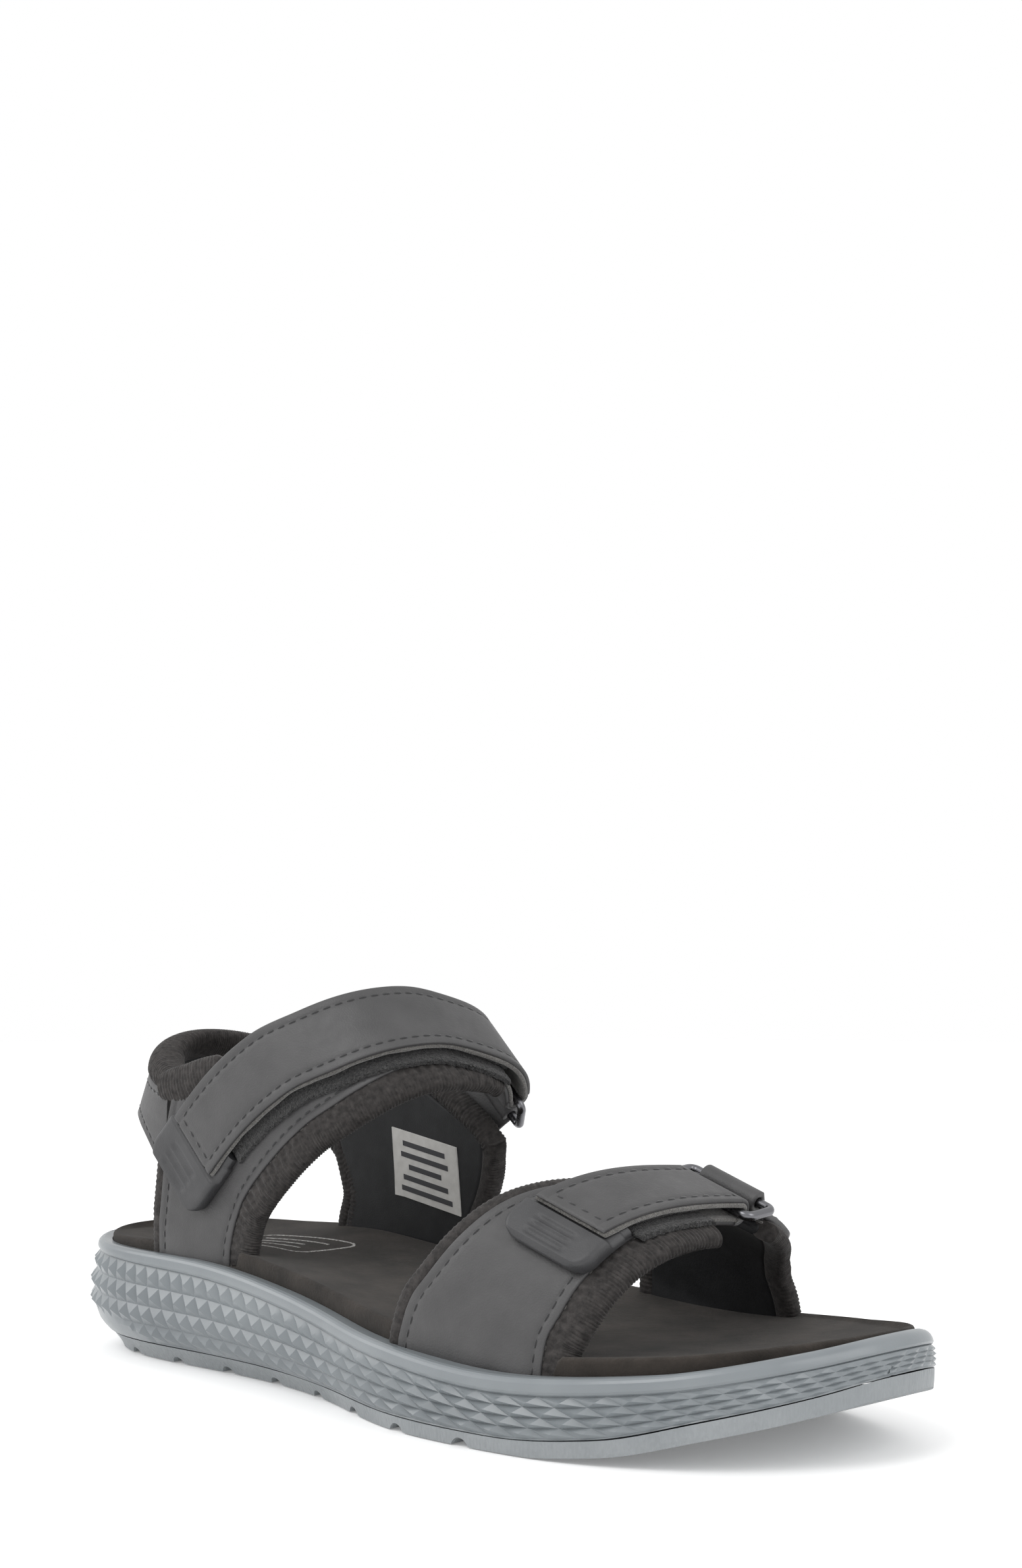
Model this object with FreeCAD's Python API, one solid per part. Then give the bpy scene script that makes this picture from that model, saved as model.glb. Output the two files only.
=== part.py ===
import FreeCAD, Part
import math
import os

Vector = FreeCAD.Vector

# A right-foot sport sandal. +X runs to the toe, +Y to the inner (medial) side of the
# foot and +Z up. The ground is z = 0. Lengths are in millimetres, angles in degrees.

# ---------------------------------------------------------------- driving dimensions
LENGTH = 256.6
HALF = LENGTH / 2

# the largest outline of the sole, seen from above, once round from the back of the heel
OUTLINE = [(-HALF, 0), (-126.4, -10), (-121.3, -19), (-113.4, -26.6), (-103, -32), (-88, -35),
           (-62, -35.6), (-34, -37), (-4, -41.5), (26, -48), (52, -49.3), (74, -47.3),
           (90, -42.6), (103, -35.6), (114, -26), (122, -14.5), (127, -3), (HALF, 7),
           (126.4, 16.5), (120, 26), (110, 34.3), (97, 41.2), (80, 46.8), (62, 48.8), (44, 47.0),
           (22, 41.8), (-4, 35.6), (-34, 33.8), (-62, 35), (-88, 35), (-103, 32.2),
           (-113.4, 27), (-121.3, 19.4), (-126.4, 10.3)]

# heights along the sole
RIM_X = [-120, -99, -59, -19, 21, 61, 96, 120, HALF]
RIM_Z = [31.5, 30.2, 29.2, 25.4, 20, 16.9, 19.4, 24, 26.5]
TREAD_X = [-HALF, -118, -100, 60, 85, 105, 120, HALF]
TREAD_Z = [8, 1.5, 0, 0, 2, 7, 11.5, 15]
PARTING_X = [-HALF, -60, 0, 50, HALF]
PARTING_RISE = [4.8, 4.6, 3.8, 3.2, 3.6]
PARTING_GAP = 0.05
WALL_Z = [-3, 4, 9, 16, 24, 34]
WALL_INSET = [6.6, 4.2, 1.3, 0.0, 0.5, 1.9]
HEEL_LEAN = [0, 0, 0, 0, 2.4, 7.2]
TUCK_X = [-HALF, -100, -40, -12, 10, 30, 60, 90, HALF]
TUCK = [1.0, 1.35, 1.4, 1.1, 0.65, 0.35, 0.3, 0.45, 0.6]
RIM_WALL = 3.0
LUG_DEPTH = 1.6
GROOVE_WIDTH = 3.2
NOTCH_ROUND = 2.7
NOTCH_SINK = 1.0
NOTCH_PITCH = 21.0

# footbed: a board, a foam core and a suede cover, seated inside the rim
SEAT_DEPTH = 4.0
BOARD = 1.2
COVER = 1.3
EDGE_X = [-120, -95, -50, 0, 60, 100, 126]
EDGE_RISE = [1.6, 2.2, 4.2, 4.2, 4.0, 3.4, 1.6]
DISH = 2.6

# layers of the upper, counted inwards from the outside of the closed strap
STRAP = 2.0
HOOK_IN = 3.1
LOOP_OUT = 3.4
LOOP_IN = 4.4
LOOP_AHEAD = 2.0
BASE_OUT = 4.55
BASE_IN = 6.05
LINING_OUT = 6.1
LINING_IN = 9.0
BINDING_OUT = 4.6
BINDING_IN = 9.3

# straps and rings
STRAP_HALF = 9.8
LOWER_BAR_DEPTH = 1.5
WIRE = 1.1
BAR_OFFSET = 3.25
BAR_GAP = 8.6
RING_HALF = 12.0
KEEPER_HALF = 8.0
TAB_OUT = 0.9
KEEPER_BORE = 1.18
KEEPER_ROUND = 2.7
GAP = 0.4
BINDING_WIDTH = 7.5
INNER_BINDING_WIDTH = 4.5
REAR_BINDING = 3.6


# ---------------------------------------------------------------- curves
def along(xs, ys, x):
    """Smooth value through stations, without overshoot."""
    n = len(xs)
    if x <= xs[0]:
        return ys[0]
    if x >= xs[-1]:
        return ys[-1]
    slope = [(ys[i + 1] - ys[i]) / (xs[i + 1] - xs[i]) for i in range(n - 1)]
    tangent = [slope[0]]
    for i in range(1, n - 1):
        a = slope[i - 1]
        b = slope[i]
        tangent.append(0.0 if a * b <= 0 else 2 * a * b / (a + b))
    tangent.append(slope[-1])
    i = max(k for k in range(n - 1) if xs[k] <= x)
    h = xs[i + 1] - xs[i]
    t = (x - xs[i]) / h
    return ((2 * t ** 3 - 3 * t ** 2 + 1) * ys[i] + (t ** 3 - 2 * t ** 2 + t) * h * tangent[i]
            + (3 * t ** 2 - 2 * t ** 3) * ys[i + 1] + (t ** 3 - t ** 2) * h * tangent[i + 1])


def spline(points):
    curve = Part.BSplineCurve()
    curve.interpolate([Vector(*p) for p in points])
    return curve.toShape()


def line(a, b):
    return Part.makeLine(Vector(*a), Vector(*b))


def four_sided(outer, inner):
    """A closed wire: a curve out, a short side, a curve back and a short side."""
    back = list(reversed(inner))
    return Part.Wire([spline(outer), line(outer[-1], back[0]), spline(back),
                      line(back[-1], outer[0])])


def loft(wires, ruled=False):
    solid = Part.makeLoft(wires, True, ruled, False, 3)
    if not solid.isValid():
        ends = [Part.makeRuledSurface(wire.Edges[0], wire.Edges[2])
                for wire in (wires[0], wires[-1])]
        shell = Part.makeShell(solid.Faces + ends)
        shell.sewShape(0.001)
        solid = Part.makeSolid(shell)
    if solid.Volume < 0:
        solid.reverse()
    return solid


def largest(shape):
    return max(shape.Solids, key=lambda solid: solid.Volume)


def fuse(shapes):
    whole = shapes[0].multiFuse(shapes[1:])
    return whole.removeSplitter()


# ---------------------------------------------------------------- sole
def rim_z(x):
    return along(RIM_X, RIM_Z, x)


def tread_z(x):
    return along(TREAD_X, TREAD_Z, x)


def edge_z(x):
    return rim_z(x) + along(EDGE_X, EDGE_RISE, x)


def inset_outline(distance, lean, z, tucked=False):
    """The sole's outline moved inwards, and forwards at the back of the heel by lean."""
    count = len(OUTLINE)
    points = []
    for k in range(count):
        x, y = OUTLINE[k]
        before = OUTLINE[k - 1]
        after = OUTLINE[(k + 1) % count]
        dx = after[0] - before[0]
        dy = after[1] - before[1]
        size = math.hypot(dx, dy)
        inset = distance * (along(TUCK_X, TUCK, x) if tucked else 1.0)
        x -= inset * dy / size
        y += inset * dx / size
        back = max(0.0, (-96 - x) / (HALF - 96))
        points.append((x + lean * back ** 1.5, y, z))
    return points


def closed(points):
    curve = Part.BSplineCurve()
    curve.interpolate([Vector(*p) for p in points], PeriodicFlag=True)
    return Part.Wire([curve.toShape()])


def side_profile(low, high, start, end):
    """A prism across the sole between two height curves."""
    xs = [start + (end - start) * k / 60 for k in range(61)]
    top = [(x, -60, high(x)) for x in xs]
    bottom = [(x, -60, low(x)) for x in xs]
    return Part.Face(four_sided(top, bottom)).extrude(Vector(0, 120, 0))


def make_blank():
    """The whole sole's side wall, before its top and underside are shaped."""
    return loft([closed(inset_outline(WALL_INSET[k], HEEL_LEAN[k], WALL_Z[k], k < 3))
                 for k in range(len(WALL_Z))])


def parting_z(x):
    return tread_z(x) + along(PARTING_X, PARTING_RISE, x)


def make_outsole(blank):
    body = blank.common(side_profile(lambda x: tread_z(x) - 0.4,
                                     lambda x: parting_z(x) - PARTING_GAP, -HALF - 4, HALF + 4))
    below = Part.makeBox(LENGTH + 20, 120, 20, Vector(-HALF - 10, -60, -20))
    body = body.cut(below)
    cutters = [Part.makeBox(168, GROOVE_WIDTH, LUG_DEPTH + 5, Vector(-106, -1, -5))]
    x = -96.0
    while x < 72:
        cutters.append(Part.makeCylinder(NOTCH_ROUND, 110, Vector(x, -55, -NOTCH_SINK),
                                         Vector(0, 1, 0)))
        x += NOTCH_PITCH
    return body.cut(Part.makeCompound(cutters))


def seat_column(inset):
    """An upright column inside the rim."""
    outline = closed(inset_outline(RIM_WALL + inset + 1.2, 6.4, 0))
    return Part.Face(outline).extrude(Vector(0, 0, 60))


BED_X = [-126, -118, -109, -98, -82, -60, -34, -6, 24, 52, 78, 94, 107, 116, 122, 128]
BED_HALF = [10, 17, 22.5, 28, 30, 30.5, 31, 33, 39, 44.5, 44, 39, 31, 23, 16, 10]
BED_MIDDLE = [0, 0, 0, 0, 0, 0, -1.5, -3.5, -3.2, -1, 1.2, 2.5, 4, 6, 8, 10]


def bed_slab(drop_low, drop_high):
    """A dished slab, wider than the footbed, between two drops below the bed's surface."""
    wires = []
    for k, x in enumerate(BED_X):
        half = BED_HALF[k]
        dish = DISH * min(1.0, half / 26)

        def row(drop):
            points = []
            for u in (-1.4, -1.1, -0.75, -0.38, 0, 0.38, 0.75, 1.1, 1.4):
                sink = dish * max(0.0, 1 - u * u) ** 0.8
                points.append((x, BED_MIDDLE[k] + u * half, edge_z(x) - sink - drop))
            return points

        wires.append(four_sided(row(drop_high), row(drop_low)))
    return loft(wires)


# ---------------------------------------------------------------- arches of the upper
class Arch:
    """A surface round the foot: a squared oval in one leaning plane, swept straight across.
    up and across are its directions in the X-Z plane; outer and inner are the two sides.
    Below flare_from the sides lean outwards, by their flare once flare_over further down."""

    def __init__(self, up, across, base, height, ridge, outer, outer_grow, inner, inner_grow,
                 pivot, outer_power, inner_power, flare_from, flare_over, outer_flare,
                 inner_flare):
        self.up = up
        self.across = across
        self.base = base
        self.height = height
        self.ridge = ridge
        self.outer = outer
        self.outer_grow = outer_grow
        self.inner = inner
        self.inner_grow = inner_grow
        self.pivot = pivot
        self.outer_power = outer_power
        self.inner_power = inner_power
        self.flare_from = flare_from
        self.flare_over = flare_over
        self.flare = {-1: outer_flare, 1: inner_flare}
        self.lengths = {-1: self.girth(-1), 1: self.girth(1)}

    def reach(self, side, w):
        edge = (self.outer + self.outer_grow * (w - self.pivot) if side < 0
                else self.inner + self.inner_grow * (w - self.pivot))
        return abs(edge - self.ridge)

    def power(self, side):
        return 2 / (self.outer_power if side < 0 else self.inner_power)

    def girth(self, side):
        """Running length of the section from the ridge down to one side, with its angles."""
        reach = self.reach(side, self.pivot)
        power = self.power(side)
        steps = 360
        table = [(0.0, 0.0)]
        last = (0.0, self.height)
        total = 0.0
        for k in range(1, steps + 1):
            angle = math.pi / 2 * k / steps
            here = (reach * math.sin(angle) ** power,
                    self.height * max(0.0, math.cos(angle)) ** power)
            total += math.hypot(here[0] - last[0], here[1] - last[1])
            table.append((total, angle))
            last = here
        return table

    def angle_of(self, length, side):
        table = self.lengths[side]
        for k in range(1, len(table)):
            if table[k][0] >= length:
                a = table[k - 1]
                b = table[k]
                return a[1] + (b[1] - a[1]) * (length - a[0]) / (b[0] - a[0])
        return math.pi / 2

    def length_of(self, angle, side):
        table = self.lengths[side]
        k = min(len(table) - 2, int(angle / (math.pi / 2) * (len(table) - 1)))
        a = table[k]
        b = table[k + 1]
        return a[0] + (b[0] - a[0]) * (angle - a[1]) / (b[1] - a[1])

    def point(self, s, w, depth):
        """s is the length round the section from its ridge, negative to the outer side;
        w is the place across and depth the distance inwards."""
        side = -1 if s < 0 else 1
        reach = self.reach(side, w) - depth
        limit = self.lengths[side][-1][0]
        if abs(s) >= limit:
            rise = self.base - (abs(s) - limit)
            y = self.ridge + side * reach
        else:
            angle = self.angle_of(abs(s), side)
            power = self.power(side)
            rise = self.base + (self.height - depth) * math.cos(angle) ** power
            y = self.ridge + side * reach * math.sin(angle) ** power
        below = min(1.1, max(0.0, (self.flare_from - rise) / self.flare_over))
        y += side * self.flare[side] * below ** 1.5
        return Vector(self.up[0] * rise + self.across[0] * w, y,
                      self.up[1] * rise + self.across[1] * w)

    def place(self, x, z, side):
        """(s, w) of a point given by its x and z on one side."""
        rise = self.up[0] * x + self.up[1] * z
        w = self.across[0] * x + self.across[1] * z
        share = (rise - self.base) / self.height
        if share <= 0:
            return side * (self.lengths[side][-1][0] - share * self.height), w
        angle = math.acos(min(1.0, share ** (1 / self.power(side))))
        return side * self.length_of(angle, side), w

    def at(self, degrees, w):
        """(s, w) of a point given by its angle from the ridge, negative to the outer side."""
        side = -1 if degrees < 0 else 1
        return side * self.length_of(math.radians(abs(degrees)), side), w


LEAN = math.radians(45)
INSTEP = Arch((math.sin(LEAN), math.cos(LEAN)), (math.cos(LEAN), -math.sin(LEAN)), -3.0, 61.0,
              7.0, -34.5, 0.0, 36.5, 0.0, -71.0, 2.3, 3.6, -2.0, 22.0, 2.3, 0.0)
SLOPE = math.radians(20)
VAMP = Arch((math.sin(SLOPE), math.cos(SLOPE)), (math.cos(SLOPE), -math.sin(SLOPE)), 34.0, 43.5,
            4.0, -47.8, 0.06, 47.2, 0.16, 50.0, 2.7, 2.1, 50.0, 12.0, 1.2, 1.5)


def stations(arch, side, low_pairs, high_pairs):
    """Pairs of edge positions: low ones given by x and z, high ones by angle and w."""
    found = []
    for rear, front in low_pairs:
        found.append((arch.place(rear[0], rear[1], side), arch.place(front[0], front[1], side)))
    for rear, front in high_pairs:
        found.append((arch.at(*rear), arch.at(*front)))
    return found


def between(pair, share):
    rear, front = pair
    return (rear[0] + share * (front[0] - rear[0]), rear[1] + share * (front[1] - rear[1]))


def shifted(arch, pairs, side_of, start, end):
    """A band that runs beside the front (1) or rear (0) edge, from start to end in mm."""
    found = []
    for pair in pairs:
        a = arch.point(pair[0][0], pair[0][1], BASE_OUT)
        b = arch.point(pair[1][0], pair[1][1], BASE_OUT)
        width = a.distanceToPoint(b)
        if side_of == 1:
            found.append((between(pair, 1 + start / width), between(pair, 1 + end / width)))
        else:
            found.append((between(pair, -end / width), between(pair, -start / width)))
    return found


def strip(arch, pairs, depth_out, depth_in, across=4, grow=0.0, ruled=False):
    """A solid layer over the pairs of edges, between two depths."""
    wires = []
    for pair in pairs:
        outer = []
        inner = []
        for k in range(across + 1):
            s, w = between(pair, -grow + (1 + 2 * grow) * k / across)
            outer.append(tuple(arch.point(s, w, depth_out)))
            inner.append(tuple(arch.point(s, w, depth_in)))
        wires.append(four_sided(outer, inner))
    return loft(wires, ruled)


def finer(arch, pairs, parts):
    """The pairs with more in between, on smooth curves through the given ones."""
    run = [0.0]
    for k in range(1, len(pairs)):
        mids = []
        for pair in (pairs[k - 1], pairs[k]):
            middle = between(pair, 0.5)
            mids.append(arch.point(middle[0], middle[1], BASE_OUT))
        run.append(run[-1] + mids[0].distanceToPoint(mids[1]))
    found = []
    for k in range(len(pairs) - 1):
        for j in range(parts):
            t = run[k] + (run[k + 1] - run[k]) * j / parts
            edges = []
            for which in (0, 1):
                edges.append(tuple(along(run, [pair[which][i] for pair in pairs], t)
                                   for i in (0, 1)))
            found.append(tuple(edges))
    return found + [pairs[-1]]


class Strap:
    """A strap of even width: its middle drifts across as it goes round its arch."""

    def __init__(self, arch, line_s, line_w, bar, hinge, tip, anchor_from, keeper_end, reach):
        self.arch = arch
        self.line_s = line_s
        self.line_w = line_w
        self.bar = arch.at(bar, 0)[0]
        self.hinge = arch.at(hinge, 0)[0]
        self.tip = arch.at(tip, 0)[0]
        self.anchor_from = arch.at(anchor_from, 0)[0]
        self.keeper_end = keeper_end
        self.reach = reach

    def middle(self, s):
        return along(self.line_s, self.line_w, s)

    def pairs(self, half, start, end, count, ahead=0.0):
        found = []
        for k in range(count):
            s = start + (end - start) * k / (count - 1)
            found.append(((s, self.middle(s) - half), (s, self.middle(s) + half + ahead)))
        return found


# the quarters, from inside the rim up to where they end
OUTER_QUARTER = stations(INSTEP, -1, [
    ((-75.5, 27.0), (-48.5, 27.0)), ((-75.5, 34), (-48.3, 33.5)), ((-75.3, 43), (-46.5, 40)),
    ((-75, 53), (-43, 46)), ((-74.6, 63), (-38, 51.5)), ((-70, 74), (-31, 58.5)),
    ((-56, 79), (-23, 66))], [
    ((-60, -87), (-49, -61.8)), ((-43, -86), (-37, -61.2)),
    ((-24, -83.5), (-22, -60.8)), ((-1, -80.5), (-1, -59.6)), ((10, -78), (10, -58.6)),
    ((18, -76), (18, -58))])
INNER_QUARTER = stations(INSTEP, 1, [
    ((-72, 27.0), (-26.5, 27.0)), ((-71, 34), (-23.5, 34)), ((-69, 41), (-19.5, 41)),
    ((-71, 49), (-16, 47)), ((-73.8, 57), (-13.8, 52)), ((-73.5, 65), (-12.6, 56)),
    ((-68, 72.5), (-12, 59)), ((-58, 76.8), (-11.7, 61)), ((-44, 78), (-11.5, 62.5))], [])
OUTER_VAMP = stations(VAMP, -1, [
    ((30, 14.5), (71, 13)), ((31, 22), (71, 21)), ((34, 30), (71.8, 27)),
    ((38.5, 37), (74, 32))], [
    ((-60, 26.5), (-56, 58.5)), ((-43, 29), (-43, 58.5)), ((-27, 33), (-27, 58.8)),
    ((-14, 38), (-14, 59.5)), ((-6, 41), (-6, 60.5))])
INNER_VAMP = stations(VAMP, 1, [
    ((33, 14.5), (68.5, 13)), ((33, 23), (70, 21)), ((34.5, 31), (71, 28.5)),
    ((38, 38), (71.5, 35))], [
    ((54, 28), (51, 55.5)), ((41, 33), (40, 57.5)), ((29, 38), (29, 59.5)),
    ((18, 43), (18, 61))])

INSTEP_STRAP = Strap(INSTEP, [-85, -66, -48, -35, -26, -15, -5, 0, 9, 16, 22, 30, 60],
                     [-82.8, -82.2, -80.4, -76.9, -75.0, -72.8, -71, -69.6, -66.4, -64.2, -62.8,
                      -62.0, -61.5], 43.5, -36.0, -88.6, 20.5, 23.0, 14.0)
VAMP_STRAP = Strap(VAMP, [-60, 60], [43.8, 63.0], 0.5, -14.0, -38.5, -5.0, 25.0, 10.5)

# heel strap: an oval round the back of the ankle that leans forward with height
HEEL_CENTRE = -72.0
HEEL_LOW_Z = 62.0
HEEL_HIGH_Z = 87.0
HEEL_LOW_BACK = 46.0
HEEL_HIGH_BACK = 31.0
HEEL_NARROWER = 4.5
HEEL_OUTER = 34.5
HEEL_INNER = 36.5
HEEL_END = 86.0


def heel_point(angle, z, depth):
    share = (z - HEEL_LOW_Z) / (HEEL_HIGH_Z - HEEL_LOW_Z)
    back = HEEL_LOW_BACK + (HEEL_HIGH_BACK - HEEL_LOW_BACK) * share - depth
    a = math.radians(angle)
    side = (HEEL_OUTER if angle < 0 else HEEL_INNER) - depth
    side -= HEEL_NARROWER * max(0.0, share) * math.cos(a)
    return (HEEL_CENTRE - back * math.cos(a), side * math.sin(a), z)


def heel_low(angle):
    u = abs(angle) / HEEL_END
    return 65.5 - 17.5 * u ** 5


def heel_high(angle):
    u = abs(angle) / HEEL_END
    return 87.0 - 10.5 * u ** 2


def heel_seam(angle):
    u = abs(angle) / HEEL_END
    return 80.0 - 9.0 * u ** 1.5


def heel_band(low, high, depth_out, depth_in, low_gap=0.0, high_gap=0.0):
    wires = []
    steps = 12
    for k in range(steps + 1):
        angle = HEEL_END * (2 * k / steps - 1)
        a = low(angle) + low_gap
        b = high(angle) - high_gap
        outer = [heel_point(angle, a + (b - a) * i / 3, depth_out) for i in range(4)]
        inner = [heel_point(angle, a + (b - a) * i / 3, depth_in) for i in range(4)]
        wires.append(four_sided(outer, inner))
    return loft(wires)


# ---------------------------------------------------------------- rings, folds, keepers
class Turn:
    """Where a strap turns round its ring: both bars, and the directions at the upper one."""

    def __init__(self, strap):
        arch = strap.arch
        w = strap.middle(strap.bar)
        self.w = w
        self.upper = arch.point(strap.bar, w, BAR_OFFSET)
        self.across = Vector(arch.across[0], 0, arch.across[1])
        ahead = arch.point(strap.bar + 0.5, w, BAR_OFFSET)
        behind = arch.point(strap.bar - 0.5, w, BAR_OFFSET)
        self.down = ahead.sub(behind)
        self.down.normalize()
        self.outward = self.down.cross(self.across)
        if arch.point(strap.bar, w, 0).sub(self.upper).dot(self.outward) < 0:
            self.outward = self.outward.negative()
        self.outer_r = arch.point(strap.bar, w, 0).sub(self.upper).dot(self.outward)
        self.inner_r = arch.point(strap.bar, w, STRAP).sub(self.upper).dot(self.outward)
        s = strap.bar
        while arch.point(s, w, LOWER_BAR_DEPTH).distanceToPoint(self.upper) < BAR_GAP:
            s += 0.02
        self.low_s = s
        self.lower = arch.point(s, w, LOWER_BAR_DEPTH)
        s = strap.bar
        while max(arch.point(s, w, depth).sub(self.upper).dot(self.down)
                  for depth in (BAR_OFFSET + 1.28, BAR_OFFSET + 3.2)) > 0.15:
            s -= 0.02
        self.under_s = s


def rod(a, b):
    span = b.sub(a)
    return Part.makeCylinder(WIRE, span.Length, a, span)


def make_ring(turn):
    reach = Vector(turn.across).multiply(RING_HALF)
    corners = [turn.upper.sub(reach), turn.upper.add(reach), turn.lower.add(reach),
               turn.lower.sub(reach)]
    shapes = []
    for k in range(4):
        shapes.append(rod(corners[k], corners[(k + 1) % 4]))
        shapes.append(Part.makeSphere(WIRE, corners[k]))
    return fuse(shapes)


def make_fold(turn, half):
    """The strap's turn round the ring's upper bar, a half sleeve below the bar."""
    start = Vector(turn.across).multiply(-half)
    lift = Vector(turn.down).multiply(0.3)

    def arc(radius):
        a = turn.upper.add(Vector(turn.outward).multiply(radius)).add(lift)
        m = turn.upper.add(Vector(turn.down).multiply(radius)).add(lift)
        b = turn.upper.sub(Vector(turn.outward).multiply(radius)).add(lift)
        return [v.add(start) for v in (a, m, b)]

    big = arc(turn.outer_r - 0.05)
    small = arc(turn.inner_r)
    wire = Part.Wire([Part.Arc(*big).toShape(), Part.makeLine(big[2], small[2]),
                      Part.Arc(small[2], small[1], small[0]).toShape(),
                      Part.makeLine(small[0], big[0])])
    return Part.Face(wire).extrude(Vector(turn.across).multiply(2 * half))


def make_keeper(strap, turn):
    """A short sleeve round the ring's lower bar with a tab down the panel below."""
    start = turn.lower.sub(Vector(turn.across).multiply(KEEPER_HALF))
    sleeve = Part.makeCylinder(KEEPER_ROUND, 2 * KEEPER_HALF, start, turn.across)
    bore = Part.makeCylinder(KEEPER_BORE, 2 * KEEPER_HALF + 2, start.sub(turn.across),
                             turn.across)
    pairs = []
    for k in range(9):
        s = turn.low_s - 0.4 + strap.keeper_end * k / 8
        pairs.append(((s, turn.w - KEEPER_HALF), (s, turn.w + KEEPER_HALF)))
    tab = strip(strap.arch, pairs, BASE_OUT - 1.75, BASE_OUT - 0.16, 2)
    return sleeve.fuse(tab).cut(bore).removeSplitter()


def pull_tab(strap):
    """A rubber grip below the strap's tip, wider than the strap and rounded at its end."""
    pairs = []
    middle = strap.middle(strap.tip)
    for share, half in ((-0.55, 11.6), (0.0, 12.0), (0.45, 12.0), (0.75, 10.8), (0.92, 8.6),
                        (1.0, 6.0)):
        s = strap.tip - share * strap.reach
        pairs.append(((s, middle - half), (s, middle + half)))
    under = strip(strap.arch, pairs, STRAP + 0.05, BASE_OUT - 0.35, 2)
    pairs = []
    for share, half in ((0.05, 11.9), (0.45, 11.9), (0.75, 10.7), (0.96, 7.4)):
        s = strap.tip - share * strap.reach
        pairs.append(((s, middle - half), (s, middle + half)))
    return under.fuse(strip(strap.arch, pairs, TAB_OUT, STRAP + 0.3, 2)).removeSplitter()


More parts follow.
